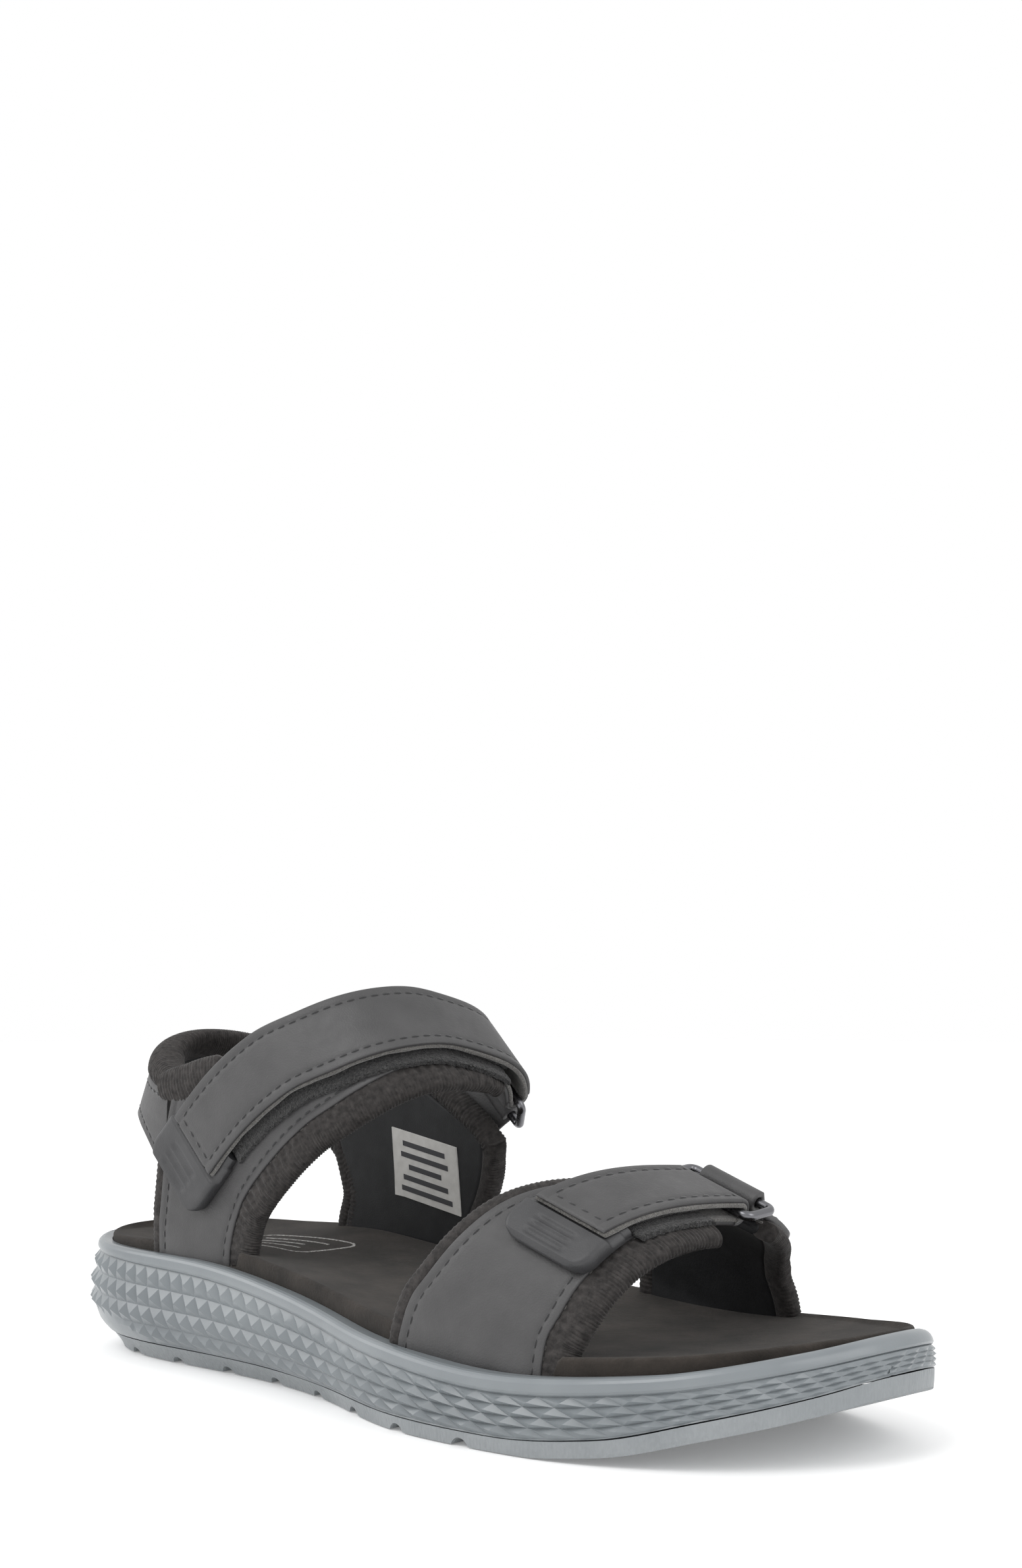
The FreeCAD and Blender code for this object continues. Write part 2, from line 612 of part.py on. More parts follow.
# ---------------------------------------------------------------- build
def build():
    made = {}
    blank = make_blank()
    made["outsole"] = make_outsole(blank)
    midsole = blank.common(side_profile(parting_z, rim_z, -HALF - 4, HALF + 4))

    def floor(x):
        return rim_z(x) - SEAT_DEPTH

    midsole = midsole.cut(seat_column(0.0).common(
        side_profile(floor, lambda x: rim_z(x) + 9, -HALF - 4, HALF + 4)))
    column = seat_column(0.1)
    board = column.cut(side_profile(lambda x: floor(x) + BOARD, lambda x: floor(x) + 80,
                                    -HALF - 4, HALF + 4))
    board = board.cut(side_profile(lambda x: -20.0, lambda x: floor(x) + 0.03,
                                   -HALF - 4, HALF + 4))
    above = column.common(side_profile(lambda x: floor(x) + BOARD + 0.05,
                                       lambda x: rim_z(x) + 20, -HALF - 4, HALF + 4))
    foam = above.cut(bed_slab(COVER + 0.03, -40))
    cover = above.common(bed_slab(COVER, 0.0))

    slots = []
    for arch, pairs in ((INSTEP, OUTER_QUARTER), (INSTEP, INNER_QUARTER), (VAMP, OUTER_VAMP),
                        (VAMP, INNER_VAMP)):
        wide = []
        front = BINDING_WIDTH if pairs[0][0][0] < 0 else INNER_BINDING_WIDTH
        for pair in pairs[:5]:
            a = arch.point(pair[0][0], pair[0][1], BASE_OUT)
            b = arch.point(pair[1][0], pair[1][1], BASE_OUT)
            width = a.distanceToPoint(b)
            wide.append((between(pair, -(REAR_BINDING + 0.4) / width),
                         between(pair, 1 + (front + 0.5) / width)))
        sign = -1 if wide[0][0][0] < 0 else 1
        lowered = tuple((edge[0] + sign * 0.3, edge[1]) for edge in wide[0])
        slots.append(strip(arch, [lowered] + wide[1:], BINDING_OUT - 0.12, BINDING_IN + 0.15))
    for slot in slots:
        midsole = midsole.cut(slot)
        board = board.cut(slot)
        foam = foam.cut(slot)
        cover = cover.cut(slot)
    made["midsole"] = largest(midsole)
    made["insole_board"] = largest(board)
    made["footbed_foam"] = largest(foam)
    made["footbed_cover"] = largest(cover)

    for name, arch, pairs in (("outer_quarter", INSTEP, OUTER_QUARTER),
                              ("inner_quarter", INSTEP, INNER_QUARTER),
                              ("outer_vamp", VAMP, OUTER_VAMP),
                              ("inner_vamp", VAMP, INNER_VAMP)):
        dense = finer(arch, pairs, 2)
        front = BINDING_WIDTH if pairs[0][0][0] < 0 else INNER_BINDING_WIDTH
        made[name + "_overlay"] = strip(arch, dense, BASE_OUT, BASE_IN, ruled=True)
        made[name + "_lining"] = strip(arch, dense, LINING_OUT, LINING_IN, ruled=True)
        made[name + "_front_binding"] = strip(
            arch, shifted(arch, dense, 1, 0.08, front), BINDING_OUT, BINDING_IN, 2,
            ruled=True)
        rear = dense[:5] if arch is INSTEP else dense
        made[name + "_rear_binding"] = strip(
            arch, shifted(arch, rear, 0, 0.08, REAR_BINDING), BINDING_OUT, BINDING_IN, 2,
            ruled=True)

    made["heel_strap"] = heel_band(heel_low, heel_seam, BASE_OUT, BASE_IN)
    made["heel_lining"] = heel_band(heel_low, heel_seam, LINING_OUT, LINING_IN + 1.5, 0.5, 0.0)
    made["heel_collar"] = heel_band(heel_seam, heel_high, BASE_OUT - 0.3, LINING_IN + 2.0, 0.06)

    layout = {}
    for name, strap in (("instep", INSTEP_STRAP), ("vamp", VAMP_STRAP)):
        arch = strap.arch
        turn = Turn(strap)
        layout[name] = (strap, turn)
        made[name + "_ring"] = make_ring(turn)
        made[name + "_strap_fold"] = make_fold(turn, STRAP_HALF)
        made[name + "_strap_anchor"] = strip(
            arch, strap.pairs(STRAP_HALF - 0.4, strap.anchor_from, turn.under_s, 5),
            BAR_OFFSET + 1.28, BAR_OFFSET + 3.2, 2)
        made[name + "_strap"] = strip(
            arch, strap.pairs(STRAP_HALF, strap.hinge + GAP / 2, strap.bar, 9), 0, STRAP, 2)
        made[name + "_strap_tip"] = strip(
            arch, strap.pairs(STRAP_HALF, strap.tip, strap.hinge - GAP / 2, 7), 0, STRAP, 2)
        pad_end = strap.anchor_from - 1.5
        made[name + "_hook_pad"] = strip(
            arch, strap.pairs(STRAP_HALF - 1.2, strap.hinge + GAP, pad_end, 6),
            STRAP + 0.05, HOOK_IN, 2)
        pad_start = strap.tip + 0.55 * strap.reach + 0.6
        made[name + "_hook_tip_pad"] = strip(
            arch, strap.pairs(STRAP_HALF - 1.2, pad_start, strap.hinge - GAP, 6),
            STRAP + 0.05, HOOK_IN, 2)
        made[name + "_loop_pad"] = strip(
            arch, strap.pairs(STRAP_HALF - 0.2, pad_start, pad_end, 14, LOOP_AHEAD), LOOP_OUT,
            LOOP_IN, 2)
        made[name + "_pull_tab"] = pull_tab(strap)
        made[name + "_ring_keeper"] = make_keeper(strap, turn)

    label = []
    for z_low, z_high, x in ((43.0, 62.0, -50.0), (41.5, 61.0, -36.5), (39.5, 59.5, -23.0)):
        low = INSTEP.place(x, z_low, 1)
        high = INSTEP.place(x + 3, z_high, 1)
        label.append((low, high))
    made["size_label"] = strip(INSTEP, label, LINING_IN + 0.06, LINING_IN + 0.4)
    return made, layout


if __name__ == "__main__":
    os.makedirs("parts", exist_ok=True)
    nodes, places = build()
    for name, shape in nodes.items():
        if shape.ShapeType == "Compound" and len(shape.Solids) == 1:
            shape = shape.Solids[0]
        print(name, shape.ShapeType, len(shape.Solids), round(shape.Volume), shape.isValid())
        shape.exportStep("parts/" + name + ".step")
    for name, (strap, turn) in places.items():
        hinge = strap.arch.point(strap.hinge, strap.middle(strap.hinge), 0)
        print(name, "upper bar", [round(c, 2) for c in turn.upper],
              "lower bar", [round(c, 2) for c in turn.lower],
              "across", [round(c, 4) for c in turn.across], "hinge", [round(c, 2) for c in hinge])
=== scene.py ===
import math
import bmesh
import bpy
import numpy as np
from mathutils import Matrix, Vector


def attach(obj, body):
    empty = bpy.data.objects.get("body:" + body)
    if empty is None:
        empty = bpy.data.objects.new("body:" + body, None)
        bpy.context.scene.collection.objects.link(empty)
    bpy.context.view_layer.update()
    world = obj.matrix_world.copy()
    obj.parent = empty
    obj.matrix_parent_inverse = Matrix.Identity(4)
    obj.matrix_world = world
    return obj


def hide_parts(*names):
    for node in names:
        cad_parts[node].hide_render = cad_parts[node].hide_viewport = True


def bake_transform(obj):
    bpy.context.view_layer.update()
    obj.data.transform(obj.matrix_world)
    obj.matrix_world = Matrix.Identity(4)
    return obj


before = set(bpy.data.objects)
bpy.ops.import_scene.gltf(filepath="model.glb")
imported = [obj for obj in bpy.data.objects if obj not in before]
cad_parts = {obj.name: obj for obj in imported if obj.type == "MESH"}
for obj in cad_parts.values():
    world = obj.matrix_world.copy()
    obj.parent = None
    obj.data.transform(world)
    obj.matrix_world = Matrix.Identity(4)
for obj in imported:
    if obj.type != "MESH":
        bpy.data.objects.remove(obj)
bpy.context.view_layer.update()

# A right-foot sport sandal. +X runs to the toe, +Y to the inner side of the foot, +Z up.
# Lengths below are in millimetres and turn into metres where a mesh is made.
MM = 0.001
BASE = "sandal_base"
RNG = np.random.default_rng(7)

LENGTH = 256.6
HALF = LENGTH / 2
OUTLINE = [(-HALF, 0), (-126.4, -10), (-121.3, -19), (-113.4, -26.6), (-103, -32), (-88, -35),
           (-62, -35.6), (-34, -37), (-4, -41.5), (26, -48), (52, -49.3), (74, -47.3),
           (90, -42.6), (103, -35.6), (114, -26), (122, -14.5), (127, -3), (HALF, 7),
           (126.4, 16.5), (120, 26), (110, 34.3), (97, 41.2), (80, 46.8), (62, 48.8), (44, 47.0),
           (22, 41.8), (-4, 35.6), (-34, 33.8), (-62, 35), (-88, 35), (-103, 32.2),
           (-113.4, 27), (-121.3, 19.4), (-126.4, 10.3)]
RIM_X = [-120, -99, -59, -19, 21, 61, 96, 120, HALF]
RIM_Z = [31.5, 30.2, 29.2, 25.4, 20, 16.9, 19.4, 24, 26.5]
TREAD_X = [-HALF, -118, -100, 60, 85, 105, 120, HALF]
TREAD_Z = [8, 1.5, 0, 0, 2, 7, 11.5, 15]
PARTING_X = [-HALF, -60, 0, 50, HALF]
PARTING_RISE = [4.8, 4.6, 3.8, 3.2, 3.6]
WALL_Z = [-3, 4, 9, 16, 24, 34]
WALL_INSET = [6.6, 4.2, 1.3, 0.0, 0.5, 1.9]
HEEL_LEAN = [0, 0, 0, 0, 2.4, 7.2]
TUCK_X = [-HALF, -100, -40, -12, 10, 30, 60, 90, HALF]
TUCK = [1.0, 1.35, 1.4, 1.1, 0.65, 0.35, 0.3, 0.45, 0.6]
RIM_WALL = 3.0
SEAT_DEPTH = 4.0
SEAT_LEAN = 6.4
HEEL_FROM = 96
EDGE_X = [-120, -95, -50, 0, 60, 100, 126]
EDGE_RISE = [1.6, 2.2, 4.2, 4.2, 4.0, 3.4, 1.6]
DISH = 2.6
BED_X = [-126, -118, -109, -98, -82, -60, -34, -6, 24, 52, 78, 94, 107, 116, 122, 128]
BED_HALF = [10, 17, 22.5, 28, 30, 30.5, 31, 33, 39, 44.5, 44, 39, 31, 23, 16, 10]
BED_MIDDLE = [0, 0, 0, 0, 0, 0, -1.5, -3.5, -3.2, -1, 1.2, 2.5, 4, 6, 8, 10]

STRAP = 2.0
HOOK_IN = 3.1
LOOP_OUT = 3.4
LOOP_IN = 4.5
LOOP_AHEAD = 2.6
BASE_OUT = 4.55
BASE_IN = 6.05
LINING_OUT = 6.1
LINING_IN = 9.0
STRAP_HALF = 9.8
LOWER_BAR_DEPTH = 1.5
WIRE = 1.1
BAR_OFFSET = 3.25
BAR_GAP = 8.6
RING_HALF = 12.0
KEEPER_HALF = 8.0
BINDING_WIDTH = 7.5
INNER_BINDING_WIDTH = 4.5
REAR_BINDING = 3.6


# ---------------------------------------------------------------- curves and meshes
def along(xs, ys, x):
    """Smooth values through stations, without overshoot."""
    xs = np.asarray(xs, float)
    ys = np.asarray(ys, float)
    x = np.clip(np.asarray(x, float), xs[0], xs[-1])
    slope = np.diff(ys) / np.diff(xs)
    a = slope[:-1]
    b = slope[1:]
    inner = np.where(a * b > 0, 2 * a * b / np.where(a + b == 0, 1, a + b), 0)
    tangent = np.concatenate([slope[:1], inner, slope[-1:]])
    i = np.clip(np.searchsorted(xs, x, side="right") - 1, 0, len(xs) - 2)
    h = xs[i + 1] - xs[i]
    t = (x - xs[i]) / h
    return ((2 * t ** 3 - 3 * t ** 2 + 1) * ys[i] + (t ** 3 - 2 * t ** 2 + t) * h * tangent[i]
            + (3 * t ** 2 - 2 * t ** 3) * ys[i + 1] + (t ** 3 - t ** 2) * h * tangent[i + 1])


def running(points):
    """Distance run at each point of a line."""
    return np.concatenate([[0], np.cumsum(np.linalg.norm(np.diff(points, axis=0), axis=1))])


def unit(vector):
    return vector / np.linalg.norm(vector)


def squared(value, power):
    """A sine or cosine pushed outwards, which turns a round section squarer."""
    return math.copysign(abs(value) ** power, value)


def turns(count):
    """Angles once round a circle."""
    return np.linspace(0, 2 * math.pi, count, endpoint=False)


def new_object(name, verts, faces, material, angle):
    """A smooth-shaded object in metres, with edges sharper than the angle kept sharp."""
    mesh = bpy.data.meshes.new(name)
    mesh.from_pydata([tuple(v) for v in np.asarray(verts, float) * MM], [], faces)
    mesh.validate()
    bm = bmesh.new()
    bm.from_mesh(mesh)
    bmesh.ops.recalc_face_normals(bm, faces=bm.faces)
    bm.to_mesh(mesh)
    bm.free()
    obj = bpy.data.objects.new(name, mesh)
    bpy.context.scene.collection.objects.link(obj)
    mesh.materials.append(material)
    mesh.shade_smooth()
    mesh.set_sharp_from_angle(angle=math.radians(angle))
    return obj


def tube(loops, closed=False):
    """Vertices and faces of a run of closed cross-sections, capped unless the run is closed."""
    loops = np.asarray(loops, float)
    rows, cols = loops.shape[:2]
    verts = [tuple(p) for p in loops.reshape(-1, 3)]
    faces = []
    for r in range(rows if closed else rows - 1):
        a = r * cols
        b = ((r + 1) % rows) * cols
        for c in range(cols):
            d = (c + 1) % cols
            faces.append((a + c, a + d, b + d, b + c))
    if not closed:
        for r in (0, rows - 1):
            centre = len(verts)
            verts.append(tuple(loops[r].mean(axis=0)))
            for c in range(cols):
                d = (c + 1) % cols
                faces.append((r * cols + c, r * cols + d, centre))
    return verts, faces


def merged(parts):
    """One (verts, faces) pair out of several."""
    verts = []
    faces = []
    for v, f in parts:
        base = len(verts)
        verts.extend(tuple(p) for p in v)
        faces.extend(tuple(i + base for i in face) for face in f)
    return verts, faces


def set_down(obj, body, slot, *nodes):
    """Let a piece ride on a body in place of CAD nodes; slot is not used."""
    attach(obj, body)
    if nodes:
        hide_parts(*nodes)
    return obj


# ---------------------------------------------------------------- materials
class Shader:
    """A node material around one Principled shader."""

    def __init__(self, name, color, roughness=0.6, **sockets):
        self.material = bpy.data.materials.new(name)
        self.material.use_nodes = True
        self.tree = self.material.node_tree
        self.main = self.tree.nodes["Principled BSDF"]
        self.main.inputs["Base Color"].default_value = (*color, 1)
        self.main.inputs["Roughness"].default_value = roughness
        for key, value in sockets.items():
            self.main.inputs[key.replace("_", " ")].default_value = value
        self.height = None
        self.place = self.tree.nodes.new("ShaderNodeTexCoord").outputs["Object"]

    def node(self, kind, **values):
        """A new node; on_ values are its settings, the others its inputs."""
        made = self.tree.nodes.new(kind)
        for key, value in values.items():
            if key.startswith("on_"):
                setattr(made, key[3:], value)
            else:
                made.inputs[key.replace("_", " ")].default_value = value
        return made

    def link(self, a, b):
        self.tree.links.new(a, b)

    def stretched(self, scale):
        made = self.node("ShaderNodeMapping", Scale=scale)
        self.link(self.place, made.inputs["Vector"])
        return made.outputs["Vector"]

    def noise(self, scale, detail=4.0, rough=0.55, stretch=None):
        made = self.node("ShaderNodeTexNoise", Scale=scale, Detail=detail, Roughness=rough)
        self.link(self.stretched(stretch) if stretch else self.place, made.inputs["Vector"])
        return made.outputs["Fac"]

    def cells(self, scale, stretch=None):
        made = self.node("ShaderNodeTexVoronoi", Scale=scale)
        self.link(self.stretched(stretch) if stretch else self.place, made.inputs["Vector"])
        return made.outputs["Distance"]

    def waves(self, scale, direction):
        made = self.node("ShaderNodeTexWave", on_bands_direction=direction, Scale=scale)
        self.link(self.place, made.inputs["Vector"])
        return made.outputs["Fac"]

    def ramp(self, source, low, high, a=(0, 0, 0), b=(1, 1, 1)):
        made = self.node("ShaderNodeValToRGB")
        made.color_ramp.elements[0].position = low
        made.color_ramp.elements[1].position = high
        made.color_ramp.elements[0].color = (*a, 1)
        made.color_ramp.elements[1].color = (*b, 1)
        self.link(source, made.inputs["Fac"])
        return made.outputs["Color"]

    def tint(self, source, low, high, dark, light):
        """Colour that runs from dark to light with a pattern."""
        self.link(self.ramp(source, low, high, dark, light), self.main.inputs["Base Color"])
        return self

    def speckled(self, source, low, high, dark, light, spots, s_low, s_high, spot_color):
        """A tint with light specks where a second pattern is high."""
        base = self.ramp(source, low, high, dark, light)
        mix = self.node("ShaderNodeMix", on_data_type="RGBA")
        self.link(self.ramp(spots, s_low, s_high), mix.inputs[0])
        self.link(base, mix.inputs[6])
        mix.inputs[7].default_value = (*spot_color, 1)
        self.link(mix.outputs[2], self.main.inputs["Base Color"])
        return self

    def rougher(self, source, low, high):
        made = self.node("ShaderNodeMapRange")
        made.inputs["To Min"].default_value = low
        made.inputs["To Max"].default_value = high
        self.link(source, made.inputs["Value"])
        self.link(made.outputs["Result"], self.main.inputs["Roughness"])
        return self

    def bump(self, source, distance, strength=1.0):
        made = self.node("ShaderNodeBump", Strength=strength, Distance=distance)
        self.link(source, made.inputs["Height"])
        if self.height is not None:
            self.link(self.height, made.inputs["Normal"])
        self.height = made.outputs["Normal"]
        self.link(self.height, self.main.inputs["Normal"])
        return self


def make_materials():
    found = {}
    leather = Shader("leather", (0.07, 0.069, 0.07), 0.48, Specular_IOR_Level=0.5)
    leather.tint(leather.noise(90), 0.3, 0.75, (0.041, 0.0403, 0.0413), (0.061, 0.06, 0.061))
    leather.rougher(leather.noise(420), 0.4, 0.6)
    leather.bump(leather.cells(2300), 0.00012, 0.35).bump(leather.noise(900, 6), 0.0001, 0.4)
    found["leather"] = leather.material
    felt = Shader("felt_backing", (0.17, 0.165, 0.155), 0.95, Sheen_Weight=0.4)
    felt.tint(felt.noise(2600, 5), 0.3, 0.7, (0.045, 0.043, 0.04), (0.17, 0.163, 0.152))
    felt.bump(felt.noise(3200, 6), 0.0004, 0.9)
    found["felt"] = felt.material
    suede = Shader("footbed_suede", (0.03, 0.025, 0.021), 0.95, Sheen_Weight=0.08,
                   Sheen_Roughness=0.6, Specular_IOR_Level=0.2)
    suede.speckled(suede.noise(75, 6, 0.65), 0.32, 0.72, (0.014, 0.0115, 0.0095),
                   (0.044, 0.0365, 0.031), suede.noise(1700, 2), 0.80, 0.84, (0.3, 0.28, 0.26))
    suede.bump(suede.noise(1500, 7, 0.7), 0.0004, 0.8).bump(suede.noise(260, 4), 0.0004, 0.5)
    found["suede"] = suede.material
    lining = Shader("smooth_lining", (0.012, 0.0125, 0.0135), 0.6, Sheen_Weight=0.04,
                    Specular_IOR_Level=0.3)
    lining.tint(lining.noise(200), 0.3, 0.7, (0.009, 0.0095, 0.0105), (0.017, 0.0175, 0.019))
    lining.bump(lining.cells(2600), 0.0001, 0.35)
    found["lining"] = lining.material
    binding = Shader("stretch_binding", (0.03, 0.027, 0.026), 0.85, Sheen_Weight=0.12,
                     Sheen_Roughness=0.4, Specular_IOR_Level=0.3)
    binding.tint(binding.noise(700, 5), 0.3, 0.75, (0.016, 0.0145, 0.014), (0.052, 0.047, 0.045))
    binding.bump(binding.noise(1900, 5), 0.0003, 0.7)
    found["binding"] = binding.material
    polymer = Shader("midsole_polymer", (0.25, 0.29, 0.315), 0.3, Specular_IOR_Level=0.55,
                     Coat_Weight=0.15, Coat_Roughness=0.2)
    polymer.tint(polymer.noise(38, 3), 0.25, 0.8, (0.145, 0.162, 0.174), (0.205, 0.225, 0.236))
    polymer.rougher(polymer.noise(300), 0.24, 0.42)
    polymer.bump(polymer.noise(1200, 4), 0.00008, 0.35)
    found["polymer"] = polymer.material
    tread = Shader("outsole_rubber", (0.33, 0.35, 0.36), 0.5)
    tread.tint(tread.noise(45, 4), 0.25, 0.8, (0.20, 0.217, 0.227), (0.29, 0.305, 0.315))
    tread.bump(tread.cells(760, stretch=(1.6, 1.6, 0.5)), 0.0005, 0.6)
    tread.bump(tread.noise(900), 0.0002, 0.4)
    found["tread"] = tread.material
    foam = Shader("dark_foam", (0.03, 0.028, 0.026), 0.9)
    foam.bump(foam.noise(900), 0.0003, 0.6)
    found["foam"] = foam.material
    metal = Shader("gunmetal", (0.16, 0.16, 0.17), 0.28, Metallic=1.0)
    metal.rougher(metal.noise(600, 5), 0.18, 0.36).bump(metal.noise(2500), 0.00004, 0.3)
    found["metal"] = metal.material
    rubber = Shader("tab_rubber", (0.045, 0.045, 0.047), 0.48, Specular_IOR_Level=0.5)
    rubber.tint(rubber.noise(160), 0.3, 0.7, (0.03, 0.03, 0.032), (0.044, 0.044, 0.046))
    rubber.bump(rubber.cells(2600), 0.00008, 0.35)
    found["rubber"] = rubber.material
    hook = Shader("hook_tape", (0.012, 0.012, 0.013), 0.8, Sheen_Weight=0.15)
    hook.tint(hook.noise(1800, 4), 0.35, 0.7, (0.005, 0.005, 0.006), (0.05, 0.049, 0.048))
    hook.bump(hook.noise(2400, 3), 0.0008, 1.0)
    found["hook"] = hook.material
    thread = Shader("black_thread", (0.01, 0.01, 0.011), 0.6, Sheen_Weight=0.3)
    thread.bump(thread.noise(5000), 0.0001, 0.6)
    found["thread"] = thread.material
    label = Shader("label_cloth", (0.62, 0.61, 0.585), 0.75)
    label.tint(label.noise(400), 0.3, 0.7, (0.57, 0.56, 0.535), (0.66, 0.65, 0.625))
    label.bump(label.waves(3200, "X"), 0.00006, 0.4).bump(label.waves(3200, "Z"), 0.00006, 0.4)
    found["label"] = label.material
    ink = Shader("label_ink", (0.05, 0.05, 0.055), 0.8)
    ink.bump(ink.noise(2500), 0.00005, 0.4)
    found["ink"] = ink.material
    mark = Shader("footbed_print", (0.55, 0.54, 0.52), 0.75)
    mark.tint(mark.noise(1400, 5), 0.35, 0.62, (0.09, 0.08, 0.075), (0.62, 0.61, 0.59))
    found["mark"] = mark.material
    return found


MAT = make_materials()


# ---------------------------------------------------------------- sole
def rim_z(x):
    return along(RIM_X, RIM_Z, x)


def tread_z(x):
    return along(TREAD_X, TREAD_Z, x)


def edge_z(x):
    return rim_z(x) + along(EDGE_X, EDGE_RISE, x)


def periodic(points, count):
    """Evenly spaced points on a smooth closed curve through the given ones, and its length."""
    p = np.asarray(points, float)
    n = len(p)
    fine = []
    for k in range(n):
        a, b, c, d = p[k - 1], p[k], p[(k + 1) % n], p[(k + 2) % n]
        ab = max(np.linalg.norm(b - a), 1e-6) ** 0.5
        bc = max(np.linalg.norm(c - b), 1e-6) ** 0.5
        cd = max(np.linalg.norm(d - c), 1e-6) ** 0.5
        m1 = bc * ((b - a) / ab - (c - a) / (ab + bc) + (c - b) / bc)
        m2 = bc * ((c - b) / bc - (d - b) / (bc + cd) + (d - c) / cd)
        for t in np.linspace(0, 1, 40, endpoint=False):
            fine.append((2 * t ** 3 - 3 * t ** 2 + 1) * b + (t ** 3 - 2 * t ** 2 + t) * m1
                        + (3 * t ** 2 - 2 * t ** 3) * c + (t ** 3 - t ** 2) * m2)
    fine = np.array(fine + [fine[0]])
    run = running(fine)
    want = np.linspace(0, run[-1], count, endpoint=False)
    return np.column_stack([np.interp(want, run, fine[:, i]) for i in range(p.shape[1])]), run[-1]


PLAN, GIRTH = periodic(OUTLINE, 2600)
STEP = np.roll(PLAN, -3, axis=0) - np.roll(PLAN, 3, axis=0)
STEP /= np.linalg.norm(STEP, axis=1)[:, None]
OUTWARD = np.column_stack([STEP[:, 1], -STEP[:, 0]])


def plan_at(u, inset, lean):
    """Outline position at share u of its girth, moved in by inset and forward at the heel."""
    u = np.asarray(u, float) % 1.0
    grid = np.arange(len(PLAN) + 1) / len(PLAN)
    xy = [np.interp(u, grid, np.append(PLAN[:, i], PLAN[0, i])) for i in range(2)]
    out = [np.interp(u, grid, np.append(OUTWARD[:, i], OUTWARD[0, i])) for i in range(2)]
    x = xy[0] - inset * out[0]
    y = xy[1] - inset * out[1]
    back = np.maximum(0.0, (-HEEL_FROM - x) / (HALF - HEEL_FROM))
    return x + lean * back ** 1.5, y


def wall_point(u, z, proud):
    """A point of the midsole wall, standing proud of its plain surface."""
    tuck = along(TUCK_X, TUCK, plan_at(u, 0, 0)[0])
    tuck = np.where(z < WALL_Z[3], tuck, 1.0)
    inset = along(WALL_Z, WALL_INSET, z) * tuck - proud
    lean = along(WALL_Z, HEEL_LEAN, z)
    x, y = plan_at(u, inset, lean)
    return np.stack([x, y, np.broadcast_to(z, np.shape(x))], axis=-1)


FACET_ROWS = 4
SUB = 4
# the smooth rim band: share of its height, and how far it stands proud
BAND = [(0.04, 0.05), (0.12, 0.55), (0.28, 0.95), (0.5, 1.05), (0.72, 0.95), (0.87, 0.65),
        (0.96, 0.25)]
CRESCENT_HEIGHT = 7.5
CRESCENT_X = -104
CRESCENT_HALF = 25.0


def band_height(x):
    return along([-128, -112, -96, -60, 0, 60, 128], [2.8, 2.8, 3.3, 4.0, 4.1, 4.0, 3.3], x)


def wall_low(x):
    """Where the midsole wall starts, just above the parting line."""
    return tread_z(x) + along(PARTING_X, PARTING_RISE, x)


def cell_edges():
    """Shares of the girth where one moulded cell of the wall ends and the next starts."""
    edges = []
    total = 0.0
    while total < GIRTH:
        edges.append(total)
        x = plan_at(total / GIRTH, 0, 0)[0]
        total += float(along([-128, -80, 0, 60, 128], [4.9, 5.3, 6.8, 7.8, 5.0], x))
    return np.array(edges + [total]) * (1.0 / total)


def facet_row(columns, j, slant):
    """Row j of the wall: pyramids that slant along the sole, and a smooth crescent at the heel."""
    v = j / (FACET_ROWS * SUB)
    u = columns - slant * (v - 0.5)
    x = plan_at(u, 0, 0)[0]
    bottom = wall_low(x) + 0.52
    z = bottom + (rim_z(x) - band_height(x) - bottom) * v
    b = abs(((j / SUB) % 1.0) * 2 - 1)
    a = np.abs((np.arange(len(columns)) / SUB % 1.0) * 2 - 1)
    height = 1 - np.maximum(a, b)
    crescent = CRESCENT_HEIGHT * (1 - ((x - CRESCENT_X) / CRESCENT_HALF) ** 2)
    smooth = np.clip((crescent - (z - bottom)) / 1.2, 0, 1)
    amplitude = along([-128, 60, 100, 128], [1.7, 1.55, 1.05, 0.6], x)
    edge = min(1.0, 4 * min(v, 1 - v) + 0.35)
    return wall_point(u, z, amplitude * height * edge * (1 - smooth) + 0.75 * smooth - 0.15)


